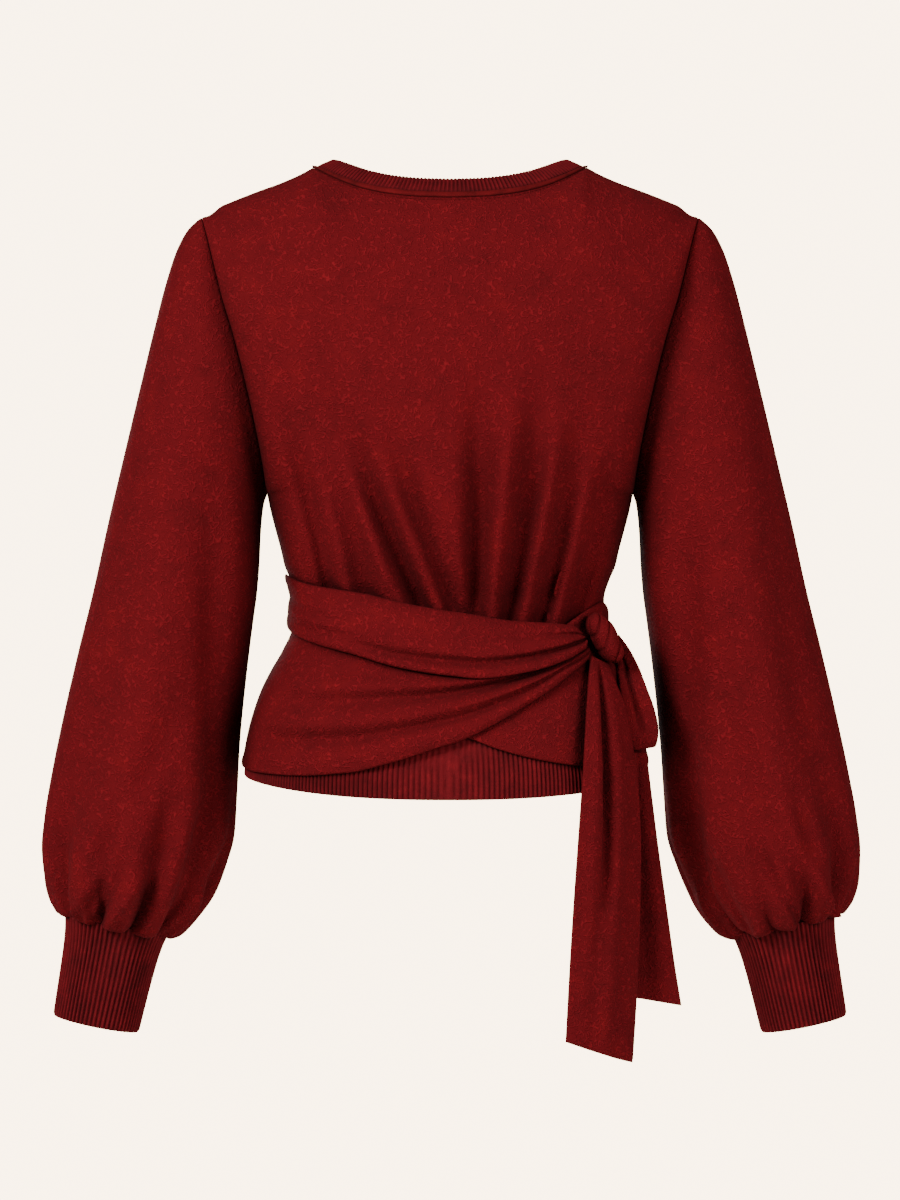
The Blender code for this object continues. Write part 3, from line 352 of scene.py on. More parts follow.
        edge = self.armhole(np.pi * high if face is Face.BACK else 2 * np.pi - np.pi * high)
        x_high = -edge[..., 0] * self.lateral(column, high)
        reach = np.abs(self.lateral(column, np.ones_like(high))) * self.shoulder_tip_x
        slope = np.clip((reach - self.neck_point_x) / (self.shoulder_tip_x - self.neck_point_x), 0, 1)
        shoulder_z = self.shoulder_line.at(reach, "z")
        neck_share = np.clip(reach / self.neck_point_x, 0, 1)
        neck_y = self.neck_back_depth * np.sqrt(1 - neck_share**2.4)
        top_z = shoulder_z
        if face is Face.BACK:
            top_z = np.where(slope > 0, shoulder_z, self.neckline.at(reach, "z"))
        top_deep = np.where(slope > 0, 0.0, neck_y)
        turn_max = np.pi / 2 * (1 - 0.48 * (1 - neck_share**3))
        turn_high = 0.36
        turn = np.clip((high - 0.55) / 0.45, 0, 1) * turn_max
        rise = np.where(
            high < 0.55,
            high / 0.55 * (1 - turn_high),
            1 - turn_high + turn_high * np.sin(turn) / np.sin(turn_max),
        )
        inner_z = self.underarm_z + (top_z - self.underarm_z) * rise
        bend = (np.cos(turn) - np.cos(turn_max)) / (1 - np.cos(turn_max))
        full = self.chest.at(inner_z, face.value)
        inner_deep = top_deep + (full - top_deep) * bend
        blend = smooth((1 - np.abs(column)) * (3.2 + 11 * smooth((high - 0.72) / 0.28)))
        z_high = edge[..., 2] + (inner_z - edge[..., 2]) * np.where(high > 0, blend, 0)
        y_high = edge[..., 1] + (sign * inner_deep - edge[..., 1]) * swell

        upper = row > 0
        x = np.where(upper, x_high, x_low)
        y = np.where(upper, y_high, y_low)
        z = np.where(upper, z_high, z_low)
        calm = smooth((1 - np.abs(column)) * 7)
        dent = sum((fold.dent(x, z) for fold in folds), np.zeros_like(x))
        if face is Face.BACK:
            above = z - self.wrap_edge(x)
            held = np.where(dent > 0, smooth((above + 0.045) / 0.025), smooth((above + 0.004) / 0.014))
            calm = calm * held
        else:
            calm = calm * smooth((z + 0.425) / 0.06)
        return np.stack([x, y - sign * dent * calm, z], axis=-1)

    @staticmethod
    def wrap_edge(x: np.ndarray) -> np.ndarray:
        """Height at which the wrap's upper edge presses the back flat."""
        return -0.3110 - 0.0160 * smooth((x + 0.128) / 0.06) - 0.0270 * smooth((x + 0.08) / 0.20)

    def ring(self, angle: np.ndarray, z: np.ndarray, lift: np.ndarray = 0.0) -> np.ndarray:
        """Point of the lower body.

        Args:
            angle: Degrees: 0 left seam, 90 centre back, 180 right seam, 270 front.
            z: Height.
            lift: How far out of the body's surface.
        """
        angle, z, lift = np.broadcast_arrays(*(np.asarray(v, float) for v in (angle, z, lift)))
        turn = np.radians(angle)
        power = 2 / self.square
        half = self.lower_half(z, -np.cos(turn)) + lift
        back = self.sections.at(z, "back") + lift + self.side_seam_y
        front = self.sections.at(z, "front") + lift - self.side_seam_y
        x = -half * np.sign(np.cos(turn)) * np.abs(np.cos(turn)) ** power
        deep = np.where(np.sin(turn) > 0, -back, front)
        y = self.side_seam_y + deep * np.abs(np.sin(turn)) ** power
        return np.stack([x, y, z], axis=-1)

    def reach_back(self, x: np.ndarray, z: np.ndarray) -> np.ndarray:
        """How far back (-Y) the lower body comes at x and z, level beside it."""
        share = np.clip(np.abs(x) / self.lower_half(z, x), 0, 0.955)
        deep = self.sections.at(z, "back") + self.side_seam_y
        return self.side_seam_y - deep * (1 - share**self.square) ** (1 / self.square)


BODY = BodyShape()


# ---------------------------------------------------------------- meshes of cloth
def grid_normals(points: np.ndarray, closed: bool, outward: np.ndarray) -> np.ndarray:
    """Unit normals of a grid of points.

    Args:
        points: Rows by columns of points.
        closed: Whether the last column meets the first.
        outward: A vector at each point on the side that the normals take.
    """
    if closed:
        across = np.roll(points, -1, axis=1) - np.roll(points, 1, axis=1)
    else:
        across = np.gradient(points, axis=1)
    normals = unit(np.cross(across, np.gradient(points, axis=0)))
    side = np.sign(np.sum(normals * outward, axis=-1, keepdims=True))
    return normals * np.where(side == 0, 1, side)


def quads(rows: int, columns: int, closed: bool, start: int) -> np.ndarray:
    """Corner numbers of a grid's quads, from the vertex number `start`."""
    last = columns if closed else columns - 1
    i, j = np.meshgrid(np.arange(rows - 1), np.arange(last), indexing="ij")
    k = (j + 1) % columns
    cells = np.stack([i * columns + j, i * columns + k, (i + 1) * columns + k, (i + 1) * columns + j])
    return start + cells.reshape(4, -1).T


def wall(name: str, outer: np.ndarray, inner: np.ndarray, closed: bool = False) -> bpy.types.Object:
    """A closed wall between two grids of the same size.

    Args:
        name: The object's name.
        outer: Rows by columns of points of the outer face.
        inner: The same points of the inner face.
        closed: Whether the last column meets the first, as on a tube.

    Returns:
        The new object, shaded smooth.
    """
    rows, columns = outer.shape[:2]
    count = rows * columns
    front = quads(rows, columns, closed, 0)
    back = quads(rows, columns, closed, count)[:, ::-1]
    last = columns if closed else columns - 1
    j = np.arange(last)
    k = (j + 1) % columns
    foot = (rows - 1) * columns
    rims = [
        np.stack([k, j, j + count, k + count], axis=1),
        np.stack([foot + j, foot + k, foot + k + count, foot + j + count], axis=1),
    ]
    if not closed:
        i = np.arange(rows - 1) * columns
        rims.append(np.stack([i, i + columns, i + columns + count, i + count], axis=1))
        e = i + columns - 1
        rims.append(np.stack([e + columns, e, e + count, e + columns + count], axis=1))
    faces = np.concatenate([front, back, *rims])
    points = np.concatenate([outer.reshape(-1, 3), inner.reshape(-1, 3)])
    return mesh_object(name, points, faces)


def mesh_object(name: str, points: np.ndarray, faces: np.ndarray) -> bpy.types.Object:
    """An object from points and quads, facing out and shaded smooth with sharp rims."""
    a, b, c, d = (points[faces[:, i]] for i in range(4))
    volume = np.sum(a * np.cross(b, c)) + np.sum(a * np.cross(c, d))
    if volume < 0:
        faces = faces[:, ::-1]
    mesh = bpy.data.meshes.new(name)
    mesh.vertices.add(len(points))
    mesh.vertices.foreach_set("co", points.astype(np.float32).ravel())
    mesh.loops.add(faces.size)
    mesh.loops.foreach_set("vertex_index", faces.astype(np.int32).ravel())
    mesh.polygons.add(len(faces))
    mesh.polygons.foreach_set("loop_start", np.arange(0, faces.size, 4, dtype=np.int32))
    mesh.update(calc_edges=True)
    mesh.validate()
    mesh.shade_smooth()
    mesh.set_sharp_from_angle(angle=math.radians(62))
    piece = bpy.data.objects.new(name, mesh)
    bpy.context.scene.collection.objects.link(piece)
    return piece


def mirrored(points: np.ndarray, side: int) -> np.ndarray:
    """Points of a left-hand piece put on the side asked for: -1 left, 1 right."""
    return points * np.array([-side, 1.0, 1.0])


def eased_run(length: float, count: int, ends: Sequence[float]) -> np.ndarray:
    """Places along a length, even in the middle and close together at both ends.

    Args:
        length: The whole length.
        count: Number of even places.
        ends: Distances from an end of the close places.
    """
    near = np.array(ends)
    middle = np.linspace(near[-1] * 1.8, length - near[-1] * 1.8, count)
    return np.concatenate([[0.0], near, middle, length - near[::-1], [length]])


def rolled_edge(distance: np.ndarray, reach: float, deep: float) -> np.ndarray:
    """How far cloth rolls in towards a seam or a folded edge that is `distance` away."""
    held = np.clip(distance / reach, 0, 1)
    return deep * (1 - np.sqrt(1 - (1 - held) ** 2))


# ---------------------------------------------------------------- body panels
SEAM_ENDS = (0.5 * MM, 1.1 * MM, 1.9 * MM, 3.0 * MM)


@dataclass
class BodyPanels:
    """The back, the two crossed fronts and what is laid on the back's neck edge."""

    columns: int = 132
    front_columns: int = 74
    hem_tuck: float = 4.0 * MM
    upper_rows: int = 78
    lower_rows: int = 62
    front_layer: float = 0.0066
    roll_reach: float = 3.2 * MM
    roll_deep: float = 1.25 * MM
    tape_rows: tuple[float, float] = (0.968, 0.994)
    tape_cloth: float = 1.8 * MM
    back_folds: tuple[Fold, ...] = (
        Fold(-0.1320, -0.1770, -0.0940, -0.3180, 0.003, 0.0085, 0.0104, 0.7),
        Fold(-0.1070, -0.1520, -0.0655, -0.3260, 0.002, 0.0129, 0.0105, 0.7),
        Fold(-0.0860, -0.1720, -0.0235, -0.3360, -0.002, 0.0105, 0.0165, 0.7),
        Fold(-0.0520, -0.1870, 0.0020, -0.3390, -0.001, 0.0085, 0.0128, 0.7),
        Fold(0.0220, -0.1520, 0.0195, -0.3430, 0.001, 0.0105, 0.0146, 0.7),
        Fold(0.0700, -0.1520, 0.0450, -0.3440, 0.003, 0.0092, 0.0122, 0.7),
        Fold(0.1000, -0.1870, 0.0700, -0.3470, 0.002, 0.0090, 0.0112, 0.7),
        Fold(0.1230, -0.2170, 0.0940, -0.3500, 0.002, 0.0090, 0.0090, 0.7),
        Fold(-0.1210, -0.1900, -0.0800, -0.3220, 0.003, 0.0080, -0.0022, 0.6),
        Fold(-0.0990, -0.1850, -0.0450, -0.3300, 0.000, 0.0070, -0.0038, 0.6),
        Fold(-0.0690, -0.2000, -0.0110, -0.3370, -0.001, 0.0065, -0.0036, 0.6),
        Fold(0.0480, -0.1700, 0.0315, -0.3420, 0.000, 0.0070, -0.0060, 0.6),
        Fold(0.0850, -0.1900, 0.0570, -0.3440, 0.002, 0.0060, -0.0040, 0.6),
        Fold(0.1120, -0.2250, 0.0820, -0.3480, 0.002, 0.0060, -0.0030, 0.6),
        Fold(-0.0150, -0.2500, 0.0110, -0.3400, 0.000, 0.0045, 0.0030, 0.5),
        Fold(-0.0380, -0.2700, -0.0100, -0.3370, 0.000, 0.0035, 0.0024, 0.5),
    )
    front_folds: tuple[Fold, ...] = (
        Fold(-0.1180, -0.215, -0.0920, -0.345, 0.002, 0.0080, 0.0030),
        Fold(-0.0700, -0.260, -0.0480, -0.360, -0.002, 0.0085, 0.0026),
        Fold(0.0100, -0.250, 0.0050, -0.372, 0.002, 0.0090, 0.0022),
        Fold(0.0760, -0.235, 0.0500, -0.350, -0.002, 0.0085, 0.0030),
        Fold(0.1200, -0.225, 0.0980, -0.340, -0.002, 0.0075, 0.0028),
        Fold(-0.0920, -0.240, -0.0700, -0.350, 0.001, 0.0060, -0.0016, 0.6),
        Fold(0.0420, -0.248, 0.0280, -0.360, 0.001, 0.0065, -0.0015, 0.6),
        Fold(-0.0300, -0.262, -0.0230, -0.366, 0.001, 0.0060, -0.0013, 0.6),
    )
    free_edge: Table = field(
        default_factory=lambda: Table(
            "row column",
            [(-1.0, -0.74), (-0.5, -0.70), (0.0, -0.36), (0.35, 0.0), (0.7, 0.36), (1.0, 0.63)],
        )
    )

    def even_columns(self) -> np.ndarray:
        """Places across a panel, apart by equal lengths of cloth and closer at the seams."""
        power = 2 / BODY.square
        fine = np.linspace(0, np.pi, 2881)
        place = -np.sign(np.cos(fine)) * np.abs(np.cos(fine)) ** power
        path = BODY.point(place, 0.0, Face.BACK)
        run = np.concatenate([[0], np.cumsum(np.linalg.norm(np.diff(path, axis=0), axis=1))])
        even = np.interp(eased_run(run[-1], self.columns, SEAM_ENDS), run, fine)
        places = -np.sign(np.cos(even)) * np.abs(np.cos(even)) ** power
        nearest = int(np.argmin(np.abs(places - BODY.neck_column)))
        places[nearest] = BODY.neck_column
        places[len(places) - 1 - nearest] = -BODY.neck_column
        return places

    def rows(self, extra: Sequence[float] = ()) -> np.ndarray:
        """Rows from the hem seam to the shoulder, with any extra ones in their place."""
        low = -1 + eased_run(1.0, self.lower_rows, (0.003, 0.007, 0.013))[:-1]
        high = eased_run(1.0, self.upper_rows, (0.002, 0.005, 0.009, 0.014))
        keep = high[(high == 0) | (high > 0.02)]
        return np.unique(np.round(np.concatenate([low, keep, extra]), 6))

    def seam_directions(
        self, rows: np.ndarray, face: Face, side: float
    ) -> tuple[np.ndarray, np.ndarray]:
        """Normals along a panel's edge, and the way from the seam into the panel."""
        high = np.clip(rows, 0, 1)
        angle = np.pi * high if face is Face.BACK else 2 * np.pi - np.pi * high
        out, across = BODY.armhole_frame(angle)
        lower = (rows < -1e-9)[:, None]
        out = np.where(lower, np.array([-1.0, 0.0, 0.0]), out)
        into = np.where(lower, np.array([0.0, face.sign, 0.0]), -across)
        mirror = np.array([-side, 1.0, 1.0])
        return out * mirror, into * mirror

    def panel(
        self,
        name: str,
        face: Face,
        columns: np.ndarray,
        rows: np.ndarray,
        folds: Sequence[Fold],
        lift: np.ndarray | None = None,
    ) -> tuple[bpy.types.Object, np.ndarray, np.ndarray]:
        """The back, or a front up to its free edge.

        Args:
            name: The piece's name.
            face: The side of the body that it covers.
            columns: Grid of places across the body.
            rows: Grid of rows, of the same shape.
            folds: The folds pressed into it.
            lift: How far its points move into the body, or None.

        Returns:
            The wall, the grid of its outer face and that grid's normals.
        """
        row_list = rows[:, 0]
        outer = BODY.point(columns, rows, face, folds)
        axis = outer * np.array([1.0, 1.0, 0.0])
        axis[..., 2] = 0.03 + 0.12 * np.clip(rows, 0, 1)
        normals = grid_normals(outer, False, axis)
        depth = np.zeros(columns.shape)
        for edge in (0, -1):
            side = columns[0, edge]
            if abs(abs(side) - 1) < 1e-6:
                out, into = self.seam_directions(row_list, face, np.sign(side))
                away = np.linalg.norm(outer - outer[:, edge : edge + 1 or None][:, :1], axis=-1)
                blend = (1 - smooth(away / (4 * self.roll_reach)))[..., None]
                normals = unit(normals * (1 - blend) + out[:, None] * blend)
                depth = np.maximum(depth, rolled_edge(away, self.roll_reach, self.roll_deep))
                outer[:, edge] += into * SEAM_GAP / 2
                outer[row_list == 0, edge] += np.array([0.0, face.sign, 0.0]) * SEAM_GAP / 2
        normals[0] = unit(normals[0] * np.array([1.0, 1.0, 0.0]))
        top = np.abs(columns[-1])
        shoulder = (top > BODY.neck_column - 1e-6) & (top < 1 - 1e-6)
        normals[-1, shoulder] = unit(normals[-1, shoulder] * np.array([1.0, 0.0, 1.0]))
        above = np.linalg.norm(outer - outer[-1:], axis=-1)
        roll = rolled_edge(above, self.roll_reach, self.roll_deep)
        depth = np.maximum(depth, roll * (np.abs(columns) > BODY.neck_column))
        if lift is not None:
            outer = outer - normals * lift[..., None]
            outer[0, :, 2] -= self.hem_tuck * smooth((columns[0] + 0.97) / 0.05)
        outer[-1] -= np.array([0.0, face.sign * SHOULDER_LAP / 2, 0.0])
        inner = outer - normals * CLOTH
        face_points = outer - normals * depth[..., None]
        return wall(name, face_points, inner), outer, normals

    def under_lift(self, column: np.ndarray, row: np.ndarray) -> np.ndarray:
        """How far the under front lies below the over front."""
        edge = self.free_edge.at(row, "column") - 0.26
        deep = self.front_layer - 0.0020 * smooth(-1.4 * row - 0.2)
        return deep * smooth((column - edge) / 0.12) * smooth((1.0 - row) * 6)

    def front(self, name: str, over: bool) -> tuple[bpy.types.Object, np.ndarray]:
        """One crossed front.

        Args:
            name: The piece's name.
            over: Whether it is the one that lies outside.

        Returns:
            The wall and the grid of its outer face.
        """
        rows = self.rows()
        share = np.linspace(0, 1, self.front_columns + 1)
        share = np.unique(np.concatenate([share**0.9, [0.003, 0.008, 0.988, 0.992, 0.9955, 0.998]]))
        free = self.free_edge.at(rows, "column")[:, None]
        columns = free + (1 - free) * share[None, :]
        grid_rows = np.repeat(rows[:, None], columns.shape[1], axis=1)
        lift = None
        if not over:
            columns = -columns[:, ::-1]
            lift = self.under_lift(columns, grid_rows)
        piece, outer, _ = self.panel(name, Face.FRONT, columns, grid_rows, self.front_folds, lift)
        return piece, outer

    def build(self) -> dict[str, Any]:
        """Builds the back, its tape and stitching, and both fronts.

        Returns:
            The pieces by name, and the grids that the neckband is sewn to.
        """
        columns = self.even_columns()
        rows = self.rows(self.tape_rows)
        grid = np.meshgrid(columns, rows)
        back, outer, normals = self.panel("back_panel", Face.BACK, *grid, self.back_folds)
        tape, stitches = self.neck_tape(outer, normals, columns, rows)
        over, over_grid = self.front("front_panel_over", True)
        under, under_grid = self.front("front_panel_under", False)
        return {
            "back": back,
            "neck_tape": tape,
            "neck_stitches": stitches,
            "front_over": over,
            "front_under": under,
            "edges": (outer[-1], columns, over_grid, under_grid, self.rows()),
        }

    def neck_tape(
        self, outer: np.ndarray, normals: np.ndarray, columns: np.ndarray, rows: np.ndarray
    ) -> tuple[bpy.types.Object, bpy.types.Object]:
        """The tape laid on the back below the neckband, and the line of stitches under it.

        Args:
            outer: The back's outer grid.
            normals: Its normals.
            columns: Places across of its columns.
            rows: Its rows.

        Returns:
            The tape and the stitches.
        """
        inside = np.where(np.abs(columns) <= BODY.neck_column + 0.01)[0]
        low, high = (int(np.argmin(np.abs(rows - value))) for value in self.tape_rows)
        share = np.array([0.0, 0.12, 0.35, 0.65, 0.88, 1.0])[:, None, None]
        base = outer[low, inside] * (1 - share) + outer[high, inside] * share
        up = unit(normals[low, inside] * (1 - share) + normals[high, inside] * share)
        crown = np.sqrt(np.clip(1 - np.abs(2 * share - 1) ** 4, 0, 1))
        inner = base + up * SEAM_GAP
        tape = wall("neck_tape_sewn", inner + up * (0.35 + 0.65 * crown) * self.tape_cloth, inner)

        below = unit(outer[low, inside] - outer[high, inside])
        path = outer[low, inside] + below * 2.4 * MM
        run = np.concatenate([[0], np.cumsum(np.linalg.norm(np.diff(path, axis=0), axis=1))])
        stitches = StitchRow().build("neck_stitching", path, normals[low, inside], run)
        return tape, stitches


@dataclass
class StitchRow:
    """A row of machine stitches in a slightly darker thread."""

    pitch: float = 3.4 * MM
    length: float = 2.6 * MM
    thread: float = 0.55 * MM
    sides: int = 6
    rings: int = 7

    def build(
        self, name: str, path: np.ndarray, normals: np.ndarray, run: np.ndarray
    ) -> bpy.types.Object:
        """Lays the stitches along a path.

        Args:
            name: The piece's name.
            path: Points along the row.
            normals: The cloth's normals there.
            run: Length along the path at each point.
        """
        count = int(run[-1] / self.pitch)
        turn = np.linspace(0, 2 * np.pi, self.sides, endpoint=False)
        points, faces = [], []
        for i in range(count):
            share = np.linspace(-0.5, 0.5, self.rings)
            at = (i + 0.5) * self.pitch + share * self.length
            middle = np.stack([np.interp(at, run, path[:, k]) for k in range(3)], axis=-1)
            up = unit(np.stack([np.interp(at, run, normals[:, k]) for k in range(3)], axis=-1))
            along = unit(np.gradient(middle, axis=0))
            side = np.cross(along, up)
            body = self.thread / 2 * np.sqrt(np.clip(1 - (2 * share) ** 4, 0.02, 1))
            middle = middle + up * (0.25 * self.thread - 0.9 * self.thread * (2 * share[:, None]) ** 4)
            ring = middle[:, None] + body[:, None, None] * (
                np.cos(turn)[None, :, None] * side[:, None] + np.sin(turn)[None, :, None] * up[:, None]
            )
            faces.append(quads(self.rings, self.sides, True, len(points) * self.rings * self.sides))
            points.append(ring.reshape(-1, 3))
        return mesh_object(name, np.concatenate(points), np.concatenate(faces))


# Folds of the left sleeve as seen from the back, broad ones down the arm and short ones
# above the cuff; the right sleeve's are given on the left too and mirrored when built.
LEFT_SLEEVE_FOLDS = (
    Fold(-0.2440, -0.250, -0.3060, -0.530, 0.006, 0.0200, 0.0075, 0.6),
    Fold(-0.1820, -0.200, -0.1830, -0.520, 0.002, 0.0130, 0.0070, 0.6),
    Fold(-0.2100, -0.120, -0.2450, -0.500, 0.006, 0.0240, -0.0045, 0.6),
    Fold(-0.2060, -0.400, -0.2860, -0.575, 0.004, 0.0120, 0.0060, 0.6),
    Fold(-0.2380, -0.480, -0.2900, -0.575, 0.003, 0.0070, -0.0056, 0.5),
    Fold(-0.2240, -0.530, -0.2700, -0.592, 0.002, 0.0060, -0.0050, 0.5),
    Fold(-0.2440, -0.520, -0.2790, -0.590, 0.002, 0.0050, 0.0062, 0.5),
    Fold(-0.1850, -0.490, -0.2230, -0.596, 0.004, 0.0070, 0.0072, 0.5),
    Fold(-0.2080, -0.470, -0.2480, -0.600, 0.004, 0.0080, 0.0050, 0.5),
)
RIGHT_SLEEVE_FOLDS = (
    Fold(-0.2480, -0.230, -0.3040, -0.540, 0.005, 0.0190, 0.0070, 0.6),
    Fold(-0.1830, -0.200, -0.1840, -0.520, 0.002, 0.0130, 0.0070, 0.6),
    Fold(-0.2120, -0.130, -0.2500, -0.500, 0.006, 0.0240, -0.0045, 0.6),
    Fold(-0.2560, -0.490, -0.2980, -0.578, 0.003, 0.0070, -0.0056, 0.5),
    Fold(-0.2360, -0.520, -0.2760, -0.590, 0.003, 0.0060, 0.0066, 0.5),
    Fold(-0.1960, -0.520, -0.2350, -0.598, 0.004, 0.0070, 0.0066, 0.5),
    Fold(-0.2150, -0.470, -0.2450, -0.596, 0.002, 0.0090, -0.0050, 0.5),
    Fold(-0.2140, -0.400, -0.2700, -0.560, 0.004, 0.0120, 0.0050, 0.6),
)


# ---------------------------------------------------------------- sleeves and cuffs
@dataclass
class Sleeve:
    """A full sleeve, gathered into its cuff, with the ribbed cuff below it."""

    side: int
    folds: tuple[Fold, ...]
    sides: int = 208
    rings: int = 172
    gathers: int = 11
    fine_gathers: int = 27
    gather_depth: float = 7.5 * MM
    fine_depth: float = 1.2 * MM
    droop: float = 3.6 * MM
    roll_reach: float = 3.2 * MM
    roll_deep: float = 1.35 * MM
    cuff_ribs: int = 60
    cuff_end: tuple[float, float, float] = (-0.2776, 0.019, -0.6658)
    cuff_top_half: tuple[float, float] = (0.0382, 0.0372)
    cuff_end_half: tuple[float, float] = (0.0344, 0.0336)
    cuff_flare: float = 3.6 * MM
    cuff_gap: float = -3.0 * MM
    rib_relief: float = 1.9 * MM
    sections: Table = field(
        default_factory=lambda: Table(
            "ring outer_x outer_z inner_x inner_z depth mid_y",
            [
                (0.0, 0.1935, -0.0351, 0.1427, -0.2512, 0.0540, 0.002),
                (1.0, 0.2043, -0.0452, 0.1449, -0.2570, 0.0560, 0.002),
                (2.0, 0.2129, -0.0608, 0.1461, -0.2640, 0.0580, 0.002),
                (3.0, 0.2215, -0.0866, 0.1470, -0.2730, 0.0600, 0.002),
                (4.0, 0.2309, -0.1232, 0.1478, -0.2850, 0.0620, 0.002),
                (5.0, 0.2418, -0.1685, 0.1486, -0.3040, 0.0630, 0.002),
                (6.0, 0.2543, -0.2207, 0.1505, -0.3276, 0.0630, 0.003),
                (7.0, 0.2668, -0.2730, 0.1529, -0.3455, 0.0630, 0.004),
                (8.0, 0.2785, -0.3260, 0.1560, -0.3690, 0.0635, 0.005),
                (9.0, 0.2902, -0.3728, 0.1593, -0.3962, 0.0645, 0.007),
                (10.0, 0.3019, -0.4220, 0.1640, -0.4430, 0.0665, 0.009),
                (11.0, 0.3120, -0.4664, 0.1666, -0.4836, 0.0690, 0.011),
                (12.0, 0.3186, -0.5015, 0.1694, -0.5171, 0.0705, 0.013),
                (13.0, 0.3214, -0.5288, 0.1760, -0.5405, 0.0700, 0.014),
                (14.0, 0.3198, -0.5522, 0.1850, -0.5622, 0.0660, 0.015),
                (15.0, 0.3136, -0.5702, 0.1975, -0.5792, 0.0580, 0.016),
                (16.0, 0.3068, -0.5780, 0.2110, -0.5930, 0.0480, 0.017),
                (17.0, 0.3010, -0.5800, 0.2222, -0.5985, 0.0400, 0.017),
            ],
        )
    )

    @property
    def word(self) -> str:
        """The side's name."""
        return "left" if self.side < 0 else "right"

    def middle(self, ring: np.ndarray) -> np.ndarray:
        """Middle of the arm's section at a ring."""
        at = self.sections.at
        x = -(at(ring, "outer_x") + at(ring, "inner_x")) / 2
        z = (at(ring, "outer_z") + at(ring, "inner_z")) / 2
        return np.stack([x, at(ring, "mid_y"), z], axis=-1)

    def oval(self, angle: np.ndarray, ring: np.ndarray) -> np.ndarray:
        """Point of a ring before it is fitted to the armhole and gathered."""
        at = self.sections.at
        half_x = (at(ring, "outer_x") - at(ring, "inner_x")) / 2
        half_z = (at(ring, "outer_z") - at(ring, "inner_z")) / 2
        way = np.stack(
            [half_x * np.cos(angle), -at(ring, "depth") * np.sin(angle), -half_z * np.cos(angle)],
            axis=-1,
        )
        return self.middle(ring) + way

    def point(self, angle: np.ndarray, ring: np.ndarray) -> np.ndarray:
        """Point of the left sleeve's outer face.

        Args:
            angle: 0 inner side, pi/2 back, pi outer side, 3pi/2 front.
            ring: 0 at the armhole to 17 at the cuff seam.
        """
        first = BODY.armhole(angle) - self.oval(angle, np.zeros_like(ring))
        point = self.oval(angle, ring) + first * (1 - smooth(ring / 5))[..., None]
        outward = unit(point - self.middle(ring))
        phase = self.gathers * angle / 2 + 0.55 * np.sin(2 * angle + 0.6 * self.side) + 0.7
        phase = phase + 0.35 * np.sin(3 * angle + 1.3)
        soft = np.clip((ring - 12.0) / 4.0, 0, 1)
        wave = np.abs(np.cos(phase)) ** (1.6 - 1.0 * soft) * 1.6 - 1.15
        swell = smooth((ring - 9.5) / 6.0) * (1 - 0.40 * smooth((ring - 16.3) / 0.7))
        small = np.cos(self.fine_gathers * angle + 1.6 * np.sin(3 * angle) + 0.7)
        tight = smooth((ring - 13.2) / 2.6) * (1 - 0.35 * smooth((ring - 16.2) / 0.8))
        lift = wave * swell * self.gather_depth + small * tight * self.fine_depth
        for place, fold in enumerate(self.folds):
            back = np.sin(angle)
            shown = smooth(back * 3.2)
            hidden = smooth(-back * 3.2) * (0.55 + 0.3 * math.sin(2.1 * place))
            lift = lift - fold.dent(point[..., 0], point[..., 2]) * shown
            shift = 0.012 * math.cos(1.7 * place)
            lift = lift - fold.dent(point[..., 0] + shift, point[..., 2]) * hidden
        calm = smooth(ring / 1.2)
        low = self.droop * smooth((ring - 15.6) / 0.9) * (np.abs(np.cos(phase)) ** 0.7 - 0.45)
        return point + outward * (lift * calm)[..., None] - np.array([0.0, 0.0, 1.0]) * low[..., None]

    def build(self) -> tuple[bpy.types.Object, bpy.types.Object]:
        """Builds the sleeve and its cuff.

        Returns:
            Both pieces.
        """
        angles = np.arange(self.sides) * 2 * np.pi / self.sides
        near = np.array([0.0, 0.03, 0.07, 0.13, 0.2, 0.3])
        far = 17 - np.array([0.6, 0.45, 0.32, 0.2, 0.12, 0.06, 0.02, 0.0])
        spread = np.linspace(0, 1, self.rings - len(near) - len(far))
        rings = np.concatenate([near, 0.42 + (16.3 - 0.42) * (0.25 * spread**2 + 0.75 * spread), far])
        grid_angles, grid_rings = np.meshgrid(angles, rings)
        outer = self.point(grid_angles, grid_rings)
        middle = outer.mean(axis=1, keepdims=True)
        normals = grid_normals(outer, True, outer - middle)
        out, across = BODY.armhole_frame(angles)
        away = np.linalg.norm(outer - outer[:1], axis=-1)
        blend = (1 - smooth(away / (4 * self.roll_reach)))[..., None]
        normals = unit(normals * (1 - blend) + out[None] * blend)
        outer[0] += across * SEAM_GAP / 2
        below = np.linalg.norm(outer - outer[-1:], axis=-1)
        roll = rolled_edge(away, self.roll_reach, self.roll_deep)
        tuck = rolled_edge(below, 5.5 * MM, 1.6 * MM)
        inner = outer - normals * CLOTH
        face = outer - normals * (roll + tuck)[..., None]
        face = np.where((tuck > CLOTH * 0.8)[..., None], outer - normals * CLOTH * 0.8, face)
        sleeve = wall(f"sleeve_{self.word}_knit", *(mirrored(p, self.side) for p in (face, inner)), True)
        return sleeve, self.cuff()

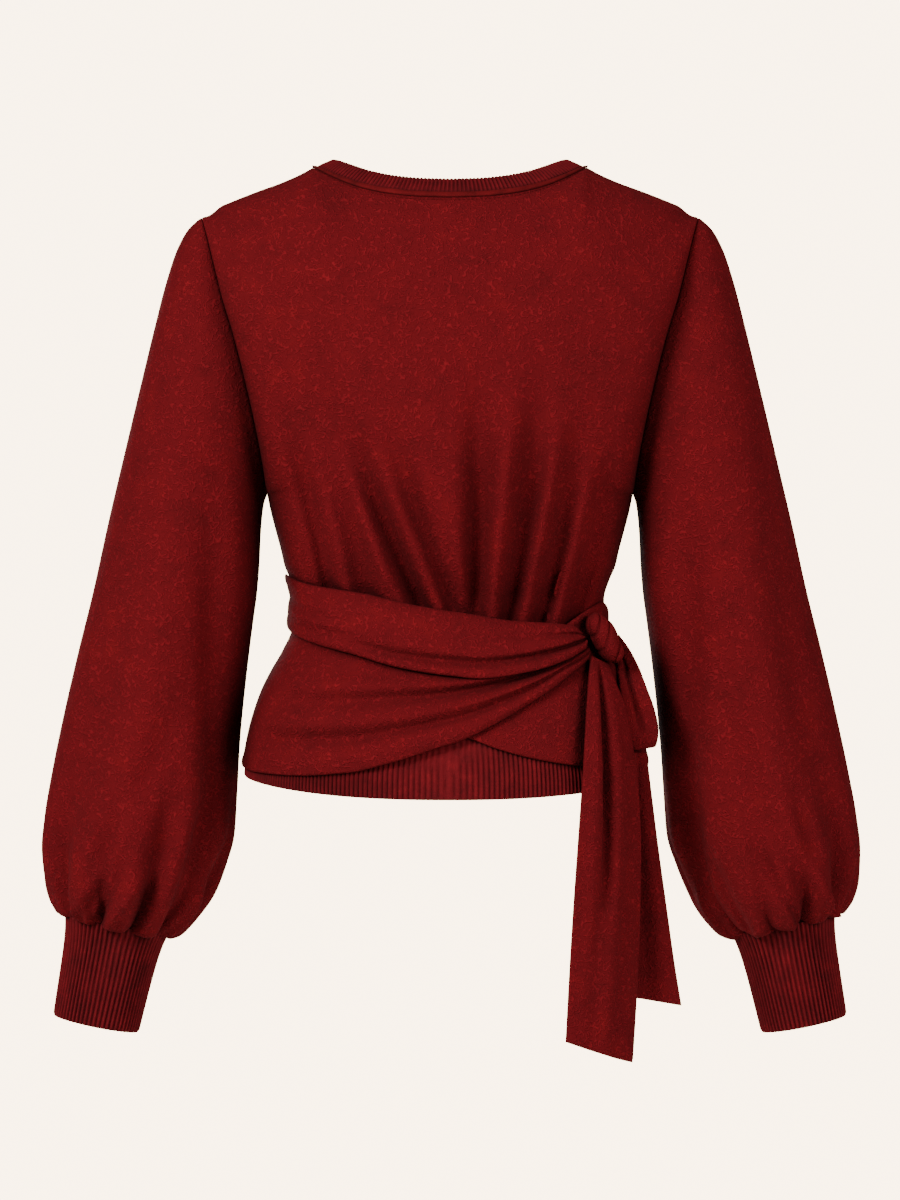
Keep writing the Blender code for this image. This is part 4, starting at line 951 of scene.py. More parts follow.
    def cuff(self) -> bpy.types.Object:
        """The ribbed cuff, narrowing to the wrist."""
        top = self.middle(np.array(17.0))
        end = np.array(self.cuff_end)
        axis = unit(end - top)
        sideways = unit(np.array([axis[2], 0.0, -axis[0]]))
        forward = np.array([0.0, 1.0, 0.0])
        start = top + axis * self.cuff_gap
        band = RibbedBand(self.cuff_ribs, 8, self.rib_relief)
        turn = band.columns() * 2 * np.pi
        outer, inner = [], []
        for share in np.concatenate([[0, 0.012, 0.03], np.linspace(0.06, 0.94, 22), [0.97, 0.985, 0.995, 1]]):
            flare = self.cuff_flare * (1 - share) ** 6
            wide, deep = (
                a + (b - a) * share + flare
                for a, b in zip(self.cuff_top_half, self.cuff_end_half)
            )
            slack = 0.7 * MM * np.sin(np.pi * share) * np.cos(3 * turn + 1.0)
            centre = start + (end - start) * share
            round_x = np.cos(turn)[:, None] * sideways
            round_y = np.sin(turn)[:, None] * forward
            rim = 1.1 * MM * (bump_of(1 - share, 0.018) + 0.6 * bump_of(share, 0.02))
            cut = (band.depth(share) + rim - slack)[:, None]
            outer.append(centre + round_x * (wide - cut) - round_y * (deep - cut))
            within = (RIB_CLOTH - slack)[:, None]
            inner.append(centre + round_x * (wide - within) - round_y * (deep - within))
        grids = (mirrored(np.array(g), self.side) for g in (outer, inner))
        return wall(f"cuff_{self.word}_rib", *grids, True)


@dataclass
class RibbedBand:
    """The rib pattern of a band: its ribs, the columns of mesh for each, and its relief."""

    ribs: int
    columns_each: int
    relief: float
    closed: bool = True

    def columns(self) -> np.ndarray:
        """Places round the band from 0 to 1."""
        count = self.ribs * self.columns_each
        return np.linspace(0, 1, count + (not self.closed), endpoint=not self.closed)

    def depth(self, across: float = 0.5) -> np.ndarray:
        """Depth below the crests at each column: round crests with narrow valleys.

        Args:
            across: Place across the band, for the ribs' slight unevenness.
        """
        place = self.columns()
        wander = 0.10 * np.sin(9 * np.pi * place + 2.0 * across) + 0.06 * np.sin(31 * place + 5 * across)
        wave = 0.5 + 0.5 * np.cos(2 * np.pi * (place * self.ribs + wander))
        uneven = 1 - 0.12 * np.sin(17.0 * place + 3.0) ** 2
        return self.relief * (1 - wave**0.7) * uneven


@dataclass
class HemBand:
    """The ribbed band round the bottom of the body."""

    ribs: int = 264
    side_z: float = -0.4705
    back_drop: float = 0.0145
    front_drop: float = 0.006
    relief: float = 1.7 * MM

    def build(self) -> bpy.types.Object:
        """Builds the band as a closed ring of ribs."""
        band = RibbedBand(self.ribs, 4, self.relief)
        angle = band.columns() * 360
        turn = np.sin(np.radians(angle))
        drop = np.where(turn > 0, self.back_drop, self.front_drop)
        low = self.side_z - drop * np.abs(turn) ** 1.5
        top = BODY.hem_seam_z - SEAM_GAP
        outer, inner = [], []
        shares = np.concatenate([[0, 0.02, 0.05], np.linspace(0.1, 0.86, 11), [0.92, 0.96, 0.985, 1]])
        for share in shares:
            z = top + (low - top) * share
            rim = 1.1 * MM * (bump_of(1 - share, 0.03) + 0.7 * bump_of(share, 0.03))
            slack = 0.8 * MM * np.sin(np.pi * share) * np.sin(np.radians(7 * angle) + 1)
            lift = np.minimum(slack, 0) - band.depth(share) - rim
            outer.append(BODY.ring(angle, z, lift))
            inner.append(BODY.ring(angle, z, np.minimum(slack, 0) - RIB_CLOTH))
        return wall("hem_rib_band", np.array(outer), np.array(inner), True)


@dataclass
class Neckband:
    """The ribbed band along the whole neck edge, one strip."""

    pitch: float = 3.3 * MM
    width: float = 16.5 * MM
    relief: float = 1.3 * MM
    lean: float = 24.0
    back_lean: float = 23.0
    under_from: float = -0.3

    def path(
        self,
        back: np.ndarray,
        columns: np.ndarray,
        over: np.ndarray,
        under: np.ndarray,
        rows: np.ndarray,
    ) -> tuple[np.ndarray, np.ndarray]:
        """Lower edge of the band, and the direction across it.

        Args:
            back: The back's top edge.
            columns: Places across of that edge's points.
            over: Outer grid of the over front.
            under: Outer grid of the under front.
            rows: Rows of both fronts.

        Returns:
            The path from the hem seam up the over front, round the back neck and down
            the under front, and a unit vector across the band at each of its points.
        """
        lower, across = [], []
        for panel, edge, near, side in ((over, 0, 3, 1.0), (under, -1, -4, -1.0)):
            point, inside = panel[:, edge], panel[:, near]
            run = unit(np.gradient(point, axis=0))
            out = unit(point - inside)
            out[:, 2] *= smooth((rows + 1) / 0.2)
            out = unit(out - run * np.sum(out * run, axis=1, keepdims=True))
            out[0, 2] = 0.0
            steep = np.radians(self.lean)
            neck = np.array([-side * np.cos(steep), 0.0, np.sin(steep)])
            turn = smooth((rows - 0.5) / 0.48)[:, None]
            lower.append(point)
            across.append(unit(out * (1 - turn) + neck * turn))
        kept = rows > self.under_from
        picked = np.where(np.abs(columns) <= BODY.neck_column + 1e-6)[0][::-1]
        turn = np.arccos(np.clip(columns[picked] / BODY.neck_column, -1, 1))
        inward = np.stack([-np.cos(turn), 0.85 * np.sin(turn), np.zeros_like(turn)], axis=-1)
        lean = np.radians(self.lean + self.back_lean * np.sin(turn))[:, None]
        rise = unit(inward) * np.cos(lean) + np.array([0.0, 0.0, 1.0]) * np.sin(lean)
        path = np.concatenate([lower[0], back[picked], lower[1][kept][::-1]])
        span = np.concatenate([across[0], rise, across[1][kept][::-1]])
        return path + span * SEAM_GAP * 1.6, span

    def build(self, path: np.ndarray, span: np.ndarray) -> bpy.types.Object:
        """Builds the band from its lower edge and the direction across it."""
        step = np.linalg.norm(np.diff(path, axis=0), axis=1)
        keep = np.concatenate([[True], step > 1e-5])
        path, span = path[keep], span[keep]
        run = np.concatenate([[0], np.cumsum(np.linalg.norm(np.diff(path, axis=0), axis=1))])
        band = RibbedBand(int(run[-1] / self.pitch), 6, self.relief, closed=False)
        even = band.columns() * run[-1]
        low = np.stack([np.interp(even, run, path[:, i]) for i in range(3)], axis=-1)
        across = unit(np.stack([np.interp(even, run, span[:, i]) for i in range(3)], axis=-1))
        along = np.stack([np.interp(even + d, run, path[:, i]) for d in (4 * MM, -4 * MM) for i in range(3)])
        along = unit((along[:3] - along[3:]).T)
        along = unit(along - across * np.sum(along * across, axis=1, keepdims=True))
        normal = np.cross(across, along)
        middle = np.array([0.0, 0.01, -0.05])
        normal = normal * np.sign(np.sum(normal * (low - middle), axis=1).mean())
        outer, inner = [], []
        shares = np.array([0, 0.05, 0.12, 0.22, 0.35, 0.5, 0.65, 0.78, 0.87, 0.93, 0.97, 1.0])
        for share in shares:
            edge = low + across * self.width * share
            rim = 1.2 * MM * bump_of(1 - share, 0.07) + 0.8 * MM * bump_of(share, 0.07)
            crown = 0.5 * MM * math.sin(math.pi * share)
            cut = np.clip(band.depth(share) + rim - crown, -0.6 * MM, RIB_CLOTH - 0.5 * MM)
            outer.append(edge - normal * cut[:, None])
            inner.append(edge - normal * RIB_CLOTH)
        grids = [np.array(outer), np.array(inner)]
        for grid in grids:
            grid[..., 2] = np.maximum(grid[..., 2], BODY.hem_seam_z)
        return wall("neckband_rib", *grids)


# ---------------------------------------------------------------- the wrap
@dataclass(frozen=True)
class Crease:
    """A soft trough (above 0) or ridge (below 0) that runs along a wrap panel.

    Degrees round the body and the place across the panel (0 top, 1 bottom) at both ends,
    its half width across and its depth.
    """

    start: float
    end: float
    place_start: float
    place_end: float
    width: float
    depth: float
    sharp: float = 0.6

    def dent(self, angle: np.ndarray, place: np.ndarray) -> np.ndarray:
        """Depth of the crease at points of the panel."""
        share = np.clip((angle - self.start) / (self.end - self.start), 0, 1)
        strength = np.sin(np.pi * share) ** self.sharp
        middle = self.place_start + (self.place_end - self.place_start) * share
        return self.depth * strength * bump_of(place - middle, self.width)


@dataclass
class WrapPanel:
    """One panel of the wrap, from the side seam where it is sewn in to the knot."""

    name: str
    table: Table
    creases: tuple[Crease, ...]
    inset: float = 0.0
    step: float = 0.75
    rows: int = 56
    edge_roll: float = 1.5 * MM
    round_each: float = 2.1 * MM
    corner: float = 2.5 * MM

    def point(self, angle: np.ndarray, place: np.ndarray, lift: np.ndarray) -> np.ndarray:
        """Point of the panel.

        Args:
            angle: Degrees round the body from the left seam.
            place: 0 at the upper edge to 1 at the lower one.
            lift: How far out from the panel's inner face.
        """
        at = self.table.at
        end = np.minimum(angle - self.table.keys[0], self.table.keys[-1] - angle) * self.round_each
        top, bottom = at(angle, "top"), at(angle, "bottom")
        corner = np.minimum(self.corner, 0.4 * (top - bottom)) * (1 - smooth(end / (2 * self.corner)))
        top, bottom = top - corner, bottom + corner
        off = at(angle, "top_lift") * (1 - place) + at(angle, "bottom_lift") * place
        inset = np.clip((place - self.inset) / (1 - self.inset), 0, 1)
        off = off + at(angle, "swell") * np.sin(np.pi * inset)
        floor = np.minimum(off, 0.9 * MM)
        held = smooth((off - 0.9 * MM) / 4.0e-3)
        for crease in self.creases:
            dent = crease.dent(angle, place)
            off = off - np.where(dent > 0, dent * held, dent)
        off = np.maximum(off, floor)
        return BODY.ring(angle, top + (bottom - top) * place, off + lift)

    def build(self) -> bpy.types.Object:
        """Builds the panel as a wall with rounded, folded edges."""
        first, last = self.table.keys[0], self.table.keys[-1]
        angles = np.arange(first, last, self.step)
        near_end = np.array([0.15, 0.4, 0.8])
        inside = angles[(angles > first + 1.2) & (angles < last - 1.2)]
        angles = np.concatenate([[first], first + near_end, inside, last - near_end[::-1], [last]])
        places = eased_run(1.0, self.rows, (0.006, 0.014, 0.025, 0.04))
        grid_angles, grid_places = np.meshgrid(angles, places)
        height = np.abs(self.table.at(angles, "top") - self.table.at(angles, "bottom"))[None, :]
        edge = np.minimum(grid_places, 1 - grid_places) * height
        ends = np.minimum(grid_angles - first, last - grid_angles) * self.round_each
        roll = rolled_edge(np.minimum(edge, ends), 2.6 * MM, self.edge_roll)
        plump = 0.55 * MM * bump_of(edge - 4.5 * MM, 3.0 * MM)
        inner = self.point(grid_angles, grid_places, 0.0)
        outer = self.point(grid_angles, grid_places, CLOTH - roll + plump)
        return wall(self.name, outer, inner)


def wrap_panels() -> dict[str, WrapPanel]:
    """The three panels of the wrap, by the name of the solid that each stands for."""
    columns = "angle top bottom top_lift bottom_lift swell"
    under = Table(
        columns,
        [
            (84, -0.4263, -0.4321, 0.0009, 0.0009, 0.0000),
            (93, -0.4156, -0.4376, 0.0009, 0.0009, 0.0000),
            (101, -0.3981, -0.4464, 0.0009, 0.0009, 0.0004),
            (112, -0.3807, -0.4542, 0.0009, 0.0009, 0.0006),
            (126, -0.3613, -0.4595, 0.0009, 0.0010, 0.0006),
            (150, -0.3405, -0.4621, 0.0009, 0.0010, 0.0008),
            (164, -0.3352, -0.4624, 0.0009, 0.0010, 0.0018),
            (174, -0.3385, -0.4622, 0.0010, 0.0010, 0.0018),
            (181.5, -0.3450, -0.4620, 0.0010, 0.0010, 0.0012),
        ],
    )
    lower = Table(
        columns,
        [
            (-1.5, -0.3430, -0.4600, 0.0013, 0.0010, 0.0000),
            (0, -0.3440, -0.4612, 0.0013, 0.0010, 0.0000),
            (27, -0.3498, -0.4663, 0.0012, 0.0010, 0.0032),
            (47, -0.3585, -0.4674, 0.0010, 0.0012, 0.0062),
            (65, -0.3652, -0.4645, 0.0010, 0.0016, 0.0078),
            (76, -0.3709, -0.4575, 0.0014, 0.0040, 0.0072),
            (88, -0.3777, -0.4452, 0.0042, 0.0050, 0.0060),
            (101, -0.3797, -0.4263, 0.0052, 0.0052, 0.0042),
            (111, -0.3778, -0.4113, 0.0052, 0.0052, 0.0036),
            (125, -0.3721, -0.3925, 0.0054, 0.0054, 0.0028),
            (135, -0.3683, -0.3820, 0.0056, 0.0056, 0.0016),
            (140.5, -0.3659, -0.3762, 0.0056, 0.0056, 0.0006),
        ],
    )
    sash = Table(
        columns,
        [
            (-1.5, -0.3134, -0.3535, 0.0009, 0.0047, 0.0010),
            (0, -0.3134, -0.3545, 0.0009, 0.0048, 0.0010),
            (10, -0.3150, -0.3575, 0.0010, 0.0048, 0.0016),
            (23, -0.3192, -0.3617, 0.0014, 0.0046, 0.0028),
            (36, -0.3227, -0.3660, 0.0014, 0.0050, 0.0048),
            (60, -0.3286, -0.3754, 0.0014, 0.0056, 0.0070),
            (76, -0.3359, -0.3846, 0.0014, 0.0080, 0.0080),
            (88, -0.3413, -0.3903, 0.0014, 0.0110, 0.0080),
            (96, -0.3447, -0.3933, 0.0014, 0.0124, 0.0076),
            (110, -0.3496, -0.3885, 0.0018, 0.0126, 0.0066),
            (127, -0.3516, -0.3780, 0.0050, 0.0120, 0.0044),
            (134, -0.3531, -0.3727, 0.0058, 0.0104, 0.0026),
            (139.5, -0.3546, -0.3694, 0.0060, 0.0092, 0.0010),
        ],
    )
    return {
        "wrap_under": WrapPanel(
            "wrap_panel_under",
            under,
            (
                Crease(96, 190, 0.30, 0.42, 0.10, 0.0004),
                Crease(120, 196, 0.62, 0.70, 0.10, -0.0012),
            ),
            corner=6.5 * MM,
        ),
        "wrap_lower": WrapPanel(
            "wrap_panel_lower",
            lower,
            (
                Crease(30, 150, 0.52, 0.30, 0.062, 0.0062),
                Crease(18, 120, 0.78, 0.68, 0.057, 0.0052),
                Crease(24, 140, 0.40, 0.19, 0.050, -0.0022),
                Crease(20, 132, 0.66, 0.52, 0.050, -0.0022),
                Crease(14, 112, 0.90, 0.88, 0.050, -0.0014),
                Crease(-10, 46, 0.35, 0.44, 0.045, 0.0010),
                Crease(84, 150, 0.62, 0.62, 0.060, 0.0018),
            ),
            inset=0.12,
        ),
        "wrap_sash": WrapPanel(
            "wrap_panel_sash",
            sash,
            (
                Crease(58, 160, 0.84, 0.62, 0.080, 0.0055),
                Crease(-10, 60, 0.40, 0.52, 0.090, 0.0014),
                Crease(96, 156, 0.30, 0.36, 0.070, 0.0022),
                Crease(20, 118, 0.20, 0.16, 0.070, -0.0010),
                Crease(14, 96, 0.62, 0.58, 0.080, -0.0014),
            ),
            corner=3.5 * MM,
        ),
    }


# ---------------------------------------------------------------- knot, bow and tails
@dataclass
class HangingStrip:
    """A strip of the wrap's cloth that hangs from the knot: a tail or the bow's loop."""

    name: str
    table: Table
    pleats: tuple[Crease, ...]
    rows: int = 120
    columns: int = 34
    flat: float = 1.0
    hang_from: float = -0.456
    edge_roll: float = 1.3 * MM

    def build(self) -> bpy.types.Object:
        """Builds the strip as a wall with its pleats pressed in."""
        at = self.table.at
        run = np.linspace(0, 1, self.rows)[:, None]
        share = eased_run(1.0, self.columns, (0.012, 0.03, 0.06))[None, :]
        x = at(run, "left_x") * (1 - share) + at(run, "right_x") * share
        z = at(run, "left_z") * (1 - share) + at(run, "right_z") * share
        off = at(run, "left_off") * (1 - share) + at(run, "right_off") * share
        held = np.maximum(z, self.hang_from)
        ends = [BODY.reach_back(at(run, e + "_x"), held) for e in ("left", "right")]
        flat = ends[0] * (1 - share) + ends[1] * share
        near = BODY.reach_back(x, held)
        y = near + (np.minimum(flat, near) - near) * self.flat - off
        points = np.stack([x, y, z], axis=-1)
        normals = unit(np.cross(np.gradient(points, axis=1), np.gradient(points, axis=0)))
        if normals[0, share.size // 2, 1] > 0:
            normals = -normals
        for pleat in self.pleats:
            points = points - normals * pleat.dent(run, share)[..., None]
        width = np.linalg.norm(points[:, -1] - points[:, 0], axis=-1)[:, None]
        edge = np.minimum(share, 1 - share) * width
        length = np.linalg.norm(points[0, 0] - points[-1, 0])
        edge = np.minimum(edge, (1 - run) * length)
        roll = rolled_edge(edge, 2.2 * MM, self.edge_roll)
        inner = points - normals * CLOTH
        return wall(self.name, points - normals * roll[..., None], inner)


def hanging_strips() -> dict[str, HangingStrip]:
    """The two tails and the bow's loop, by the name of the solid that each stands for."""
    columns = "run left_x left_z left_off right_x right_z right_off"
    front = Table(
        columns,
        [
            (0.00, 0.1085, -0.3765, 0.0150, 0.1228, -0.3835, 0.0170),
            (0.08, 0.1062, -0.3925, 0.0165, 0.1288, -0.3990, 0.0205),
            (0.15, 0.1042, -0.4153, 0.0170, 0.1357, -0.4172, 0.0232),
            (0.24, 0.1024, -0.4424, 0.0180, 0.1406, -0.4443, 0.0275),
            (0.34, 0.1003, -0.4734, 0.0175, 0.1447, -0.4744, 0.0300),
            (0.50, 0.0966, -0.5237, 0.0155, 0.1469, -0.5247, 0.0305),
            (0.65, 0.0935, -0.5673, 0.0130, 0.1464, -0.5702, 0.0290),
            (0.83, 0.0902, -0.6205, 0.0130, 0.1442, -0.6302, 0.0285),
            (1.00, 0.0876, -0.6680, 0.0120, 0.1405, -0.6868, 0.0275),
        ],
    )
    back = Table(
        columns,
        [
            (0.00, 0.1200, -0.4512, 0.0112, 0.1515, -0.4512, 0.0142),
            (0.12, 0.1181, -0.4710, 0.0104, 0.1542, -0.4730, 0.0134),
            (0.40, 0.1157, -0.5245, 0.0090, 0.1610, -0.5255, 0.0090),
            (0.66, 0.1152, -0.5731, 0.0085, 0.1680, -0.5760, 0.0085),
            (0.85, 0.1147, -0.6071, 0.0085, 0.1733, -0.6139, 0.0085),
            (1.00, 0.1142, -0.6343, 0.0085, 0.1785, -0.6460, 0.0085),
        ],
    )
    loop = Table(
        columns,
        [
            (0.00, 0.1262, -0.3710, 0.0135, 0.1300, -0.3600, 0.0135),
            (0.08, 0.1287, -0.3850, 0.0140, 0.1392, -0.3730, 0.0150),
            (0.22, 0.1312, -0.4060, 0.0150, 0.1500, -0.3960, 0.0155),
            (0.34, 0.1335, -0.4270, 0.0160, 0.1578, -0.4190, 0.0165),
            (0.42, 0.1360, -0.4400, 0.0165, 0.1604, -0.4330, 0.0170),
            (0.46, 0.1390, -0.4442, 0.0162, 0.1604, -0.4385, 0.0168),
            (0.50, 0.1408, -0.4495, 0.0128, 0.1582, -0.4470, 0.0132),
            (0.54, 0.1394, -0.4442, 0.0094, 0.1600, -0.4385, 0.0096),
            (0.58, 0.1366, -0.4405, 0.0088, 0.1598, -0.4335, 0.0090),
            (0.68, 0.1340, -0.4270, 0.0088, 0.1570, -0.4195, 0.0090),
            (0.85, 0.1315, -0.4000, 0.0094, 0.1470, -0.3930, 0.0090),
            (1.00, 0.1300, -0.3820, 0.0097, 0.1385, -0.3740, 0.0085),
        ],
    )
    return {
        "tail_front": HangingStrip(
            "wrap_tail_front",
            front,
            (
                Crease(0.02, 0.66, 0.42, 0.50, 0.072, 0.0084),
                Crease(0.30, 1.10, 0.80, 0.72, 0.10, 0.0020),
                Crease(0.05, 0.80, 0.22, 0.26, 0.10, -0.0016),
                Crease(0.10, 0.90, 0.68, 0.62, 0.09, -0.0014),
                Crease(0.45, 1.20, 0.42, 0.36, 0.12, 0.0014),
            ),
        ),
        "tail_back": HangingStrip(
            "wrap_tail_back",
            back,
            (
                Crease(0.10, 1.15, 0.62, 0.58, 0.12, 0.0028),
                Crease(0.05, 1.10, 0.84, 0.82, 0.10, -0.0012),
                Crease(0.20, 1.20, 0.34, 0.30, 0.12, 0.0012),
            ),
            flat=0.3,
        ),
        "bow_loop": HangingStrip(
            "wrap_bow_loop",
            loop,
            (Crease(0.03, 0.46, 0.40, 0.52, 0.085, 0.0042, 0.8),),
            rows=150,
            columns=22,
        ),
    }


@dataclass
class Knot:
    """The knot of the wrap: a plump lump of cloth with the turns laid over each other."""

    centre: tuple[float, float, float] = (0.1188, -0.0586, -0.3630)
    half: tuple[float, float, float] = (0.0104, 0.0112, 0.0212)
    lean: float = 30.0
    rings: int = 84
    sides: int = 96

    def build(self) -> bpy.types.Object:
        """Builds the knot as one closed lump with grooves between its turns."""
        high = np.linspace(0.02, np.pi - 0.02, self.rings)[:, None]
        turn = np.linspace(0, 2 * np.pi, self.sides, endpoint=False)[None, :]
        across = np.sin(high) ** 0.8
        slant = high + 0.50 * np.cos(turn - 0.6)
        groove = np.zeros(np.broadcast(high, turn).shape)
        for place, wide, deep in ((0.78, 0.075, 0.16), (1.42, 0.070, 0.13), (2.28, 0.085, 0.17)):
            groove = groove + deep * bump_of(slant - place, wide) * smooth(across * 1.4)
        upright = 0.07 * bump_of(np.mod(turn + 0.5 * high, 2 * np.pi) - 4.35, 0.10)
        swell = 1 + 0.05 * np.sin(2 * slant * 2.4) - groove - upright * smooth(across * 1.4)
        x = np.cos(turn) * across * swell
        y = np.sin(turn) * across * swell
        z = np.cos(high) * (1 - 0.3 * groove)
        lean = math.radians(self.lean)
        dx, dy, dz = (c * h for c, h in zip((x, y, z * np.ones_like(x)), self.half))
        points = np.stack(
            [
                self.centre[0] + dx * math.cos(lean) - dz * math.sin(lean),
                self.centre[1] + dy,
                self.centre[2] + dx * math.sin(lean) + dz * math.cos(lean),
            ],
            axis=-1,
        )
        rows, columns = points.shape[:2]
        faces = quads(rows, columns, True, 0)
        caps = []
        for i, flip in ((0, False), (rows - 1, True)):
            ring = i * columns + np.arange(columns)
            for k in range(1, columns // 2):
                cap = [ring[k - 1], ring[k], ring[-k - 1], ring[-k]]
                caps.append(cap if flip else cap[::-1])
        return mesh_object("wrap_knot", points.reshape(-1, 3), np.concatenate([faces, np.array(caps)]))


# ---------------------------------------------------------------- finishes
def linear(colour: str) -> tuple[float, float, float, float]:
    """An sRGB hex colour such as "#8A1218" as linear red, green, blue and alpha."""
    parts = [int(colour[i : i + 2], 16) / 255 for i in (1, 3, 5)]
    values = [v / 12.92 if v <= 0.04045 else ((v + 0.055) / 1.055) ** 2.4 for v in parts]
    return values[0], values[1], values[2], 1.0


def add(
    tree: bpy.types.NodeTree,
    kind: str,
    links: dict[Any, Any],
    stops: Sequence[tuple[float, Any]] = (),
    **settings: Any,
) -> bpy.types.Node:
    """Adds a node with its settings, input values and links.

    Args:
        tree: The material's node tree.
        kind: The node's type, such as "ShaderNodeTexNoise".
        links: A value or an output socket for each input, by name or number.
        stops: Places and their colours, as hex text or grey values, of a node with a ramp.
        settings: The node's own settings.

    Returns:
        The new node.
    """
    node = tree.nodes.new(kind)
    for key, value in settings.items():
        setattr(node, key, value)
    for key, value in links.items():
        if isinstance(value, bpy.types.NodeSocket):
            tree.links.new(value, node.inputs[key])
        else:
            node.inputs[key].default_value = value
    if stops:
        node.color_ramp.interpolation = "EASE"
        while len(node.color_ramp.elements) < len(stops):
            node.color_ramp.elements.new(0.5)
        for element, (place, value) in zip(node.color_ramp.elements, stops):
            element.position = place
            element.color = linear(value) if isinstance(value, str) else (value, value, value, 1.0)
    return node


def painted_fold_shade(tree: bpy.types.NodeTree, reach: float, least: float) -> Any:
    """Painted shade: darkens the colour where the cloth closes up on itself, as in folds and between ribs, by
    ambient occlusion.

    Args:
        tree: The material's node tree.
        reach: How near other cloth has to be.
        least: The painted shade's tone in the tightest places, against 1 in the open.

    Returns:
        The tone's colour socket.
    """
    node = add(tree, "ShaderNodeAmbientOcclusion", {"Distance": reach}, samples=6)
    stops = ((0.30, least), (0.68, 0.5 + 0.5 * least), (0.97, 1.0))
    return add(tree, "ShaderNodeValToRGB", {"Fac": node.outputs["AO"]}, stops).outputs["Color"]


@dataclass(frozen=True)
class BrushedKnit:
    """Cotton-rich fleece knit, brushed on its face: a matt, hairy surface whose fibres
    lie in short paler curls over a deeper ground, so that it never shines."""

    name: str = "brushed_fleece_knit"
    deep: str = "#651116"
    body: str = "#6E1218"
    light: str = "#771419"
    mottle: float = 26 * MM
    curl: float = 8.0 * MM
    fibre: float = 1.1 * MM
    relief: float = 1.3 * MM
    # Painted shade in the folds: how near other cloth has to be, and the tone in the tightest folds.
    fold_reach: float = 45 * MM
    fold_painted_shade: float = 0.30

    @staticmethod
    def laid_flat(tree: bpy.types.NodeTree, where: Any) -> Any:
        """The place on the cloth as seen square on, by the axis that it faces most."""
        faces = add(tree, "ShaderNodeNewGeometry", {}).outputs["Normal"]
        faces = add(tree, "ShaderNodeVectorMath", {0: faces}, operation="ABSOLUTE").outputs["Vector"]
        way = add(tree, "ShaderNodeSeparateXYZ", {0: faces}).outputs
        at = add(tree, "ShaderNodeSeparateXYZ", {0: where}).outputs
        sideways = add(tree, "ShaderNodeMath", {0: way[0], 1: way[1]}, operation="GREATER_THAN").outputs[0]
        upward = add(tree, "ShaderNodeMath", {0: way[2], 1: 0.75}, operation="GREATER_THAN").outputs[0]
        across = add(tree, "ShaderNodeMix", {"Factor": sideways, "A": at[0], "B": at[1]}).outputs[0]
        down = add(tree, "ShaderNodeMix", {"Factor": upward, "A": at[2], "B": at[1]}).outputs[0]
        return add(tree, "ShaderNodeCombineXYZ", {0: across, 1: down}).outputs[0]

    @staticmethod
    def hooks(tree: bpy.types.NodeTree, where: Any, size: float, shift: float) -> Any:
        """One layer of curled fibres: thin uneven rings, cut into short hooks.

        Args:
            tree: The material's node tree.
            where: The place on the cloth, laid flat.
            size: Rough size of a curl.
            shift: Moves this layer off the others.

        Returns:
            A socket that is 1 on a fibre and 0 between fibres.
        """
        place = add(
            tree, "ShaderNodeVectorMath", {0: where, 1: (shift, shift, 0.0)}, operation="ADD"
        ).outputs["Vector"]
        sway = add(
            tree,
            "ShaderNodeTexNoise",
            {"Vector": place, "Scale": 1.3 / size, "Detail": 0.0},
            noise_dimensions="2D",
        ).outputs["Color"]
        bent = add(
            tree,
            "ShaderNodeVectorMath",
            {0: sway, 1: (size * 0.7,) * 3, 2: place},
            operation="MULTIPLY_ADD",
        ).outputs["Vector"]
        line = add(
            tree,
            "ShaderNodeTexVoronoi",
            {"Vector": bent, "Scale": 1 / size},
            voronoi_dimensions="2D",
            feature="F1",
        ).outputs["Distance"]
        # Only the cells' distances near a third of a cell are on the ring.
        ring = ((0.21, 0.0), (0.30, 1.0), (0.34, 1.0), (0.43, 0.0))
        line = add(tree, "ShaderNodeValToRGB", {"Fac": line}, ring).outputs["Color"]
        cut = add(
            tree,
            "ShaderNodeTexNoise",
            {"Vector": place, "Scale": 1.6 / size, "Detail": 0.0},
            noise_dimensions="2D",
        ).outputs["Fac"]
        cut = add(tree, "ShaderNodeValToRGB", {"Fac": cut}, ((0.42, 0.0), (0.50, 1.0))).outputs["Color"]
        return add(tree, "ShaderNodeMath", {0: line, 1: cut}, operation="MULTIPLY").outputs[0]

    def make(self) -> bpy.types.Material:
        """Builds the material."""
        material = bpy.data.materials.new(self.name)
        material.use_nodes = True
        tree = material.node_tree
        shader = tree.nodes["Principled BSDF"]
        where = add(tree, "ShaderNodeTexCoord", {}).outputs["Object"]

        # Slight unevenness of the dye, some centimetres across.
        cloud = add(
            tree,
            "ShaderNodeTexNoise",
            {"Vector": where, "Scale": 1 / self.mottle, "Detail": 5.0, "Roughness": 0.7},
        ).outputs["Fac"]
        fine = add(
            tree,
            "ShaderNodeTexNoise",
            {"Vector": where, "Scale": 1 / self.fibre, "Detail": 2.0, "Roughness": 0.7},
        ).outputs["Fac"]
        # Three layers of curls, so that they cross as brushed fibre does.
        flat = self.laid_flat(tree, where)
        layers = [
            self.hooks(tree, flat, self.curl, 0.0),
            self.hooks(tree, flat, self.curl * 0.83, 3.1),
            self.hooks(tree, flat, self.curl * 0.70, 7.7),
        ]
        curls = add(tree, "ShaderNodeMath", {0: layers[0], 1: layers[1]}, operation="MAXIMUM").outputs[0]
        curls = add(tree, "ShaderNodeMath", {0: curls, 1: layers[2]}, operation="MAXIMUM").outputs[0]
        height = add(
            tree, "ShaderNodeMath", {0: fine, 1: 0.45, 2: curls}, operation="MULTIPLY_ADD"
        ).outputs[0]

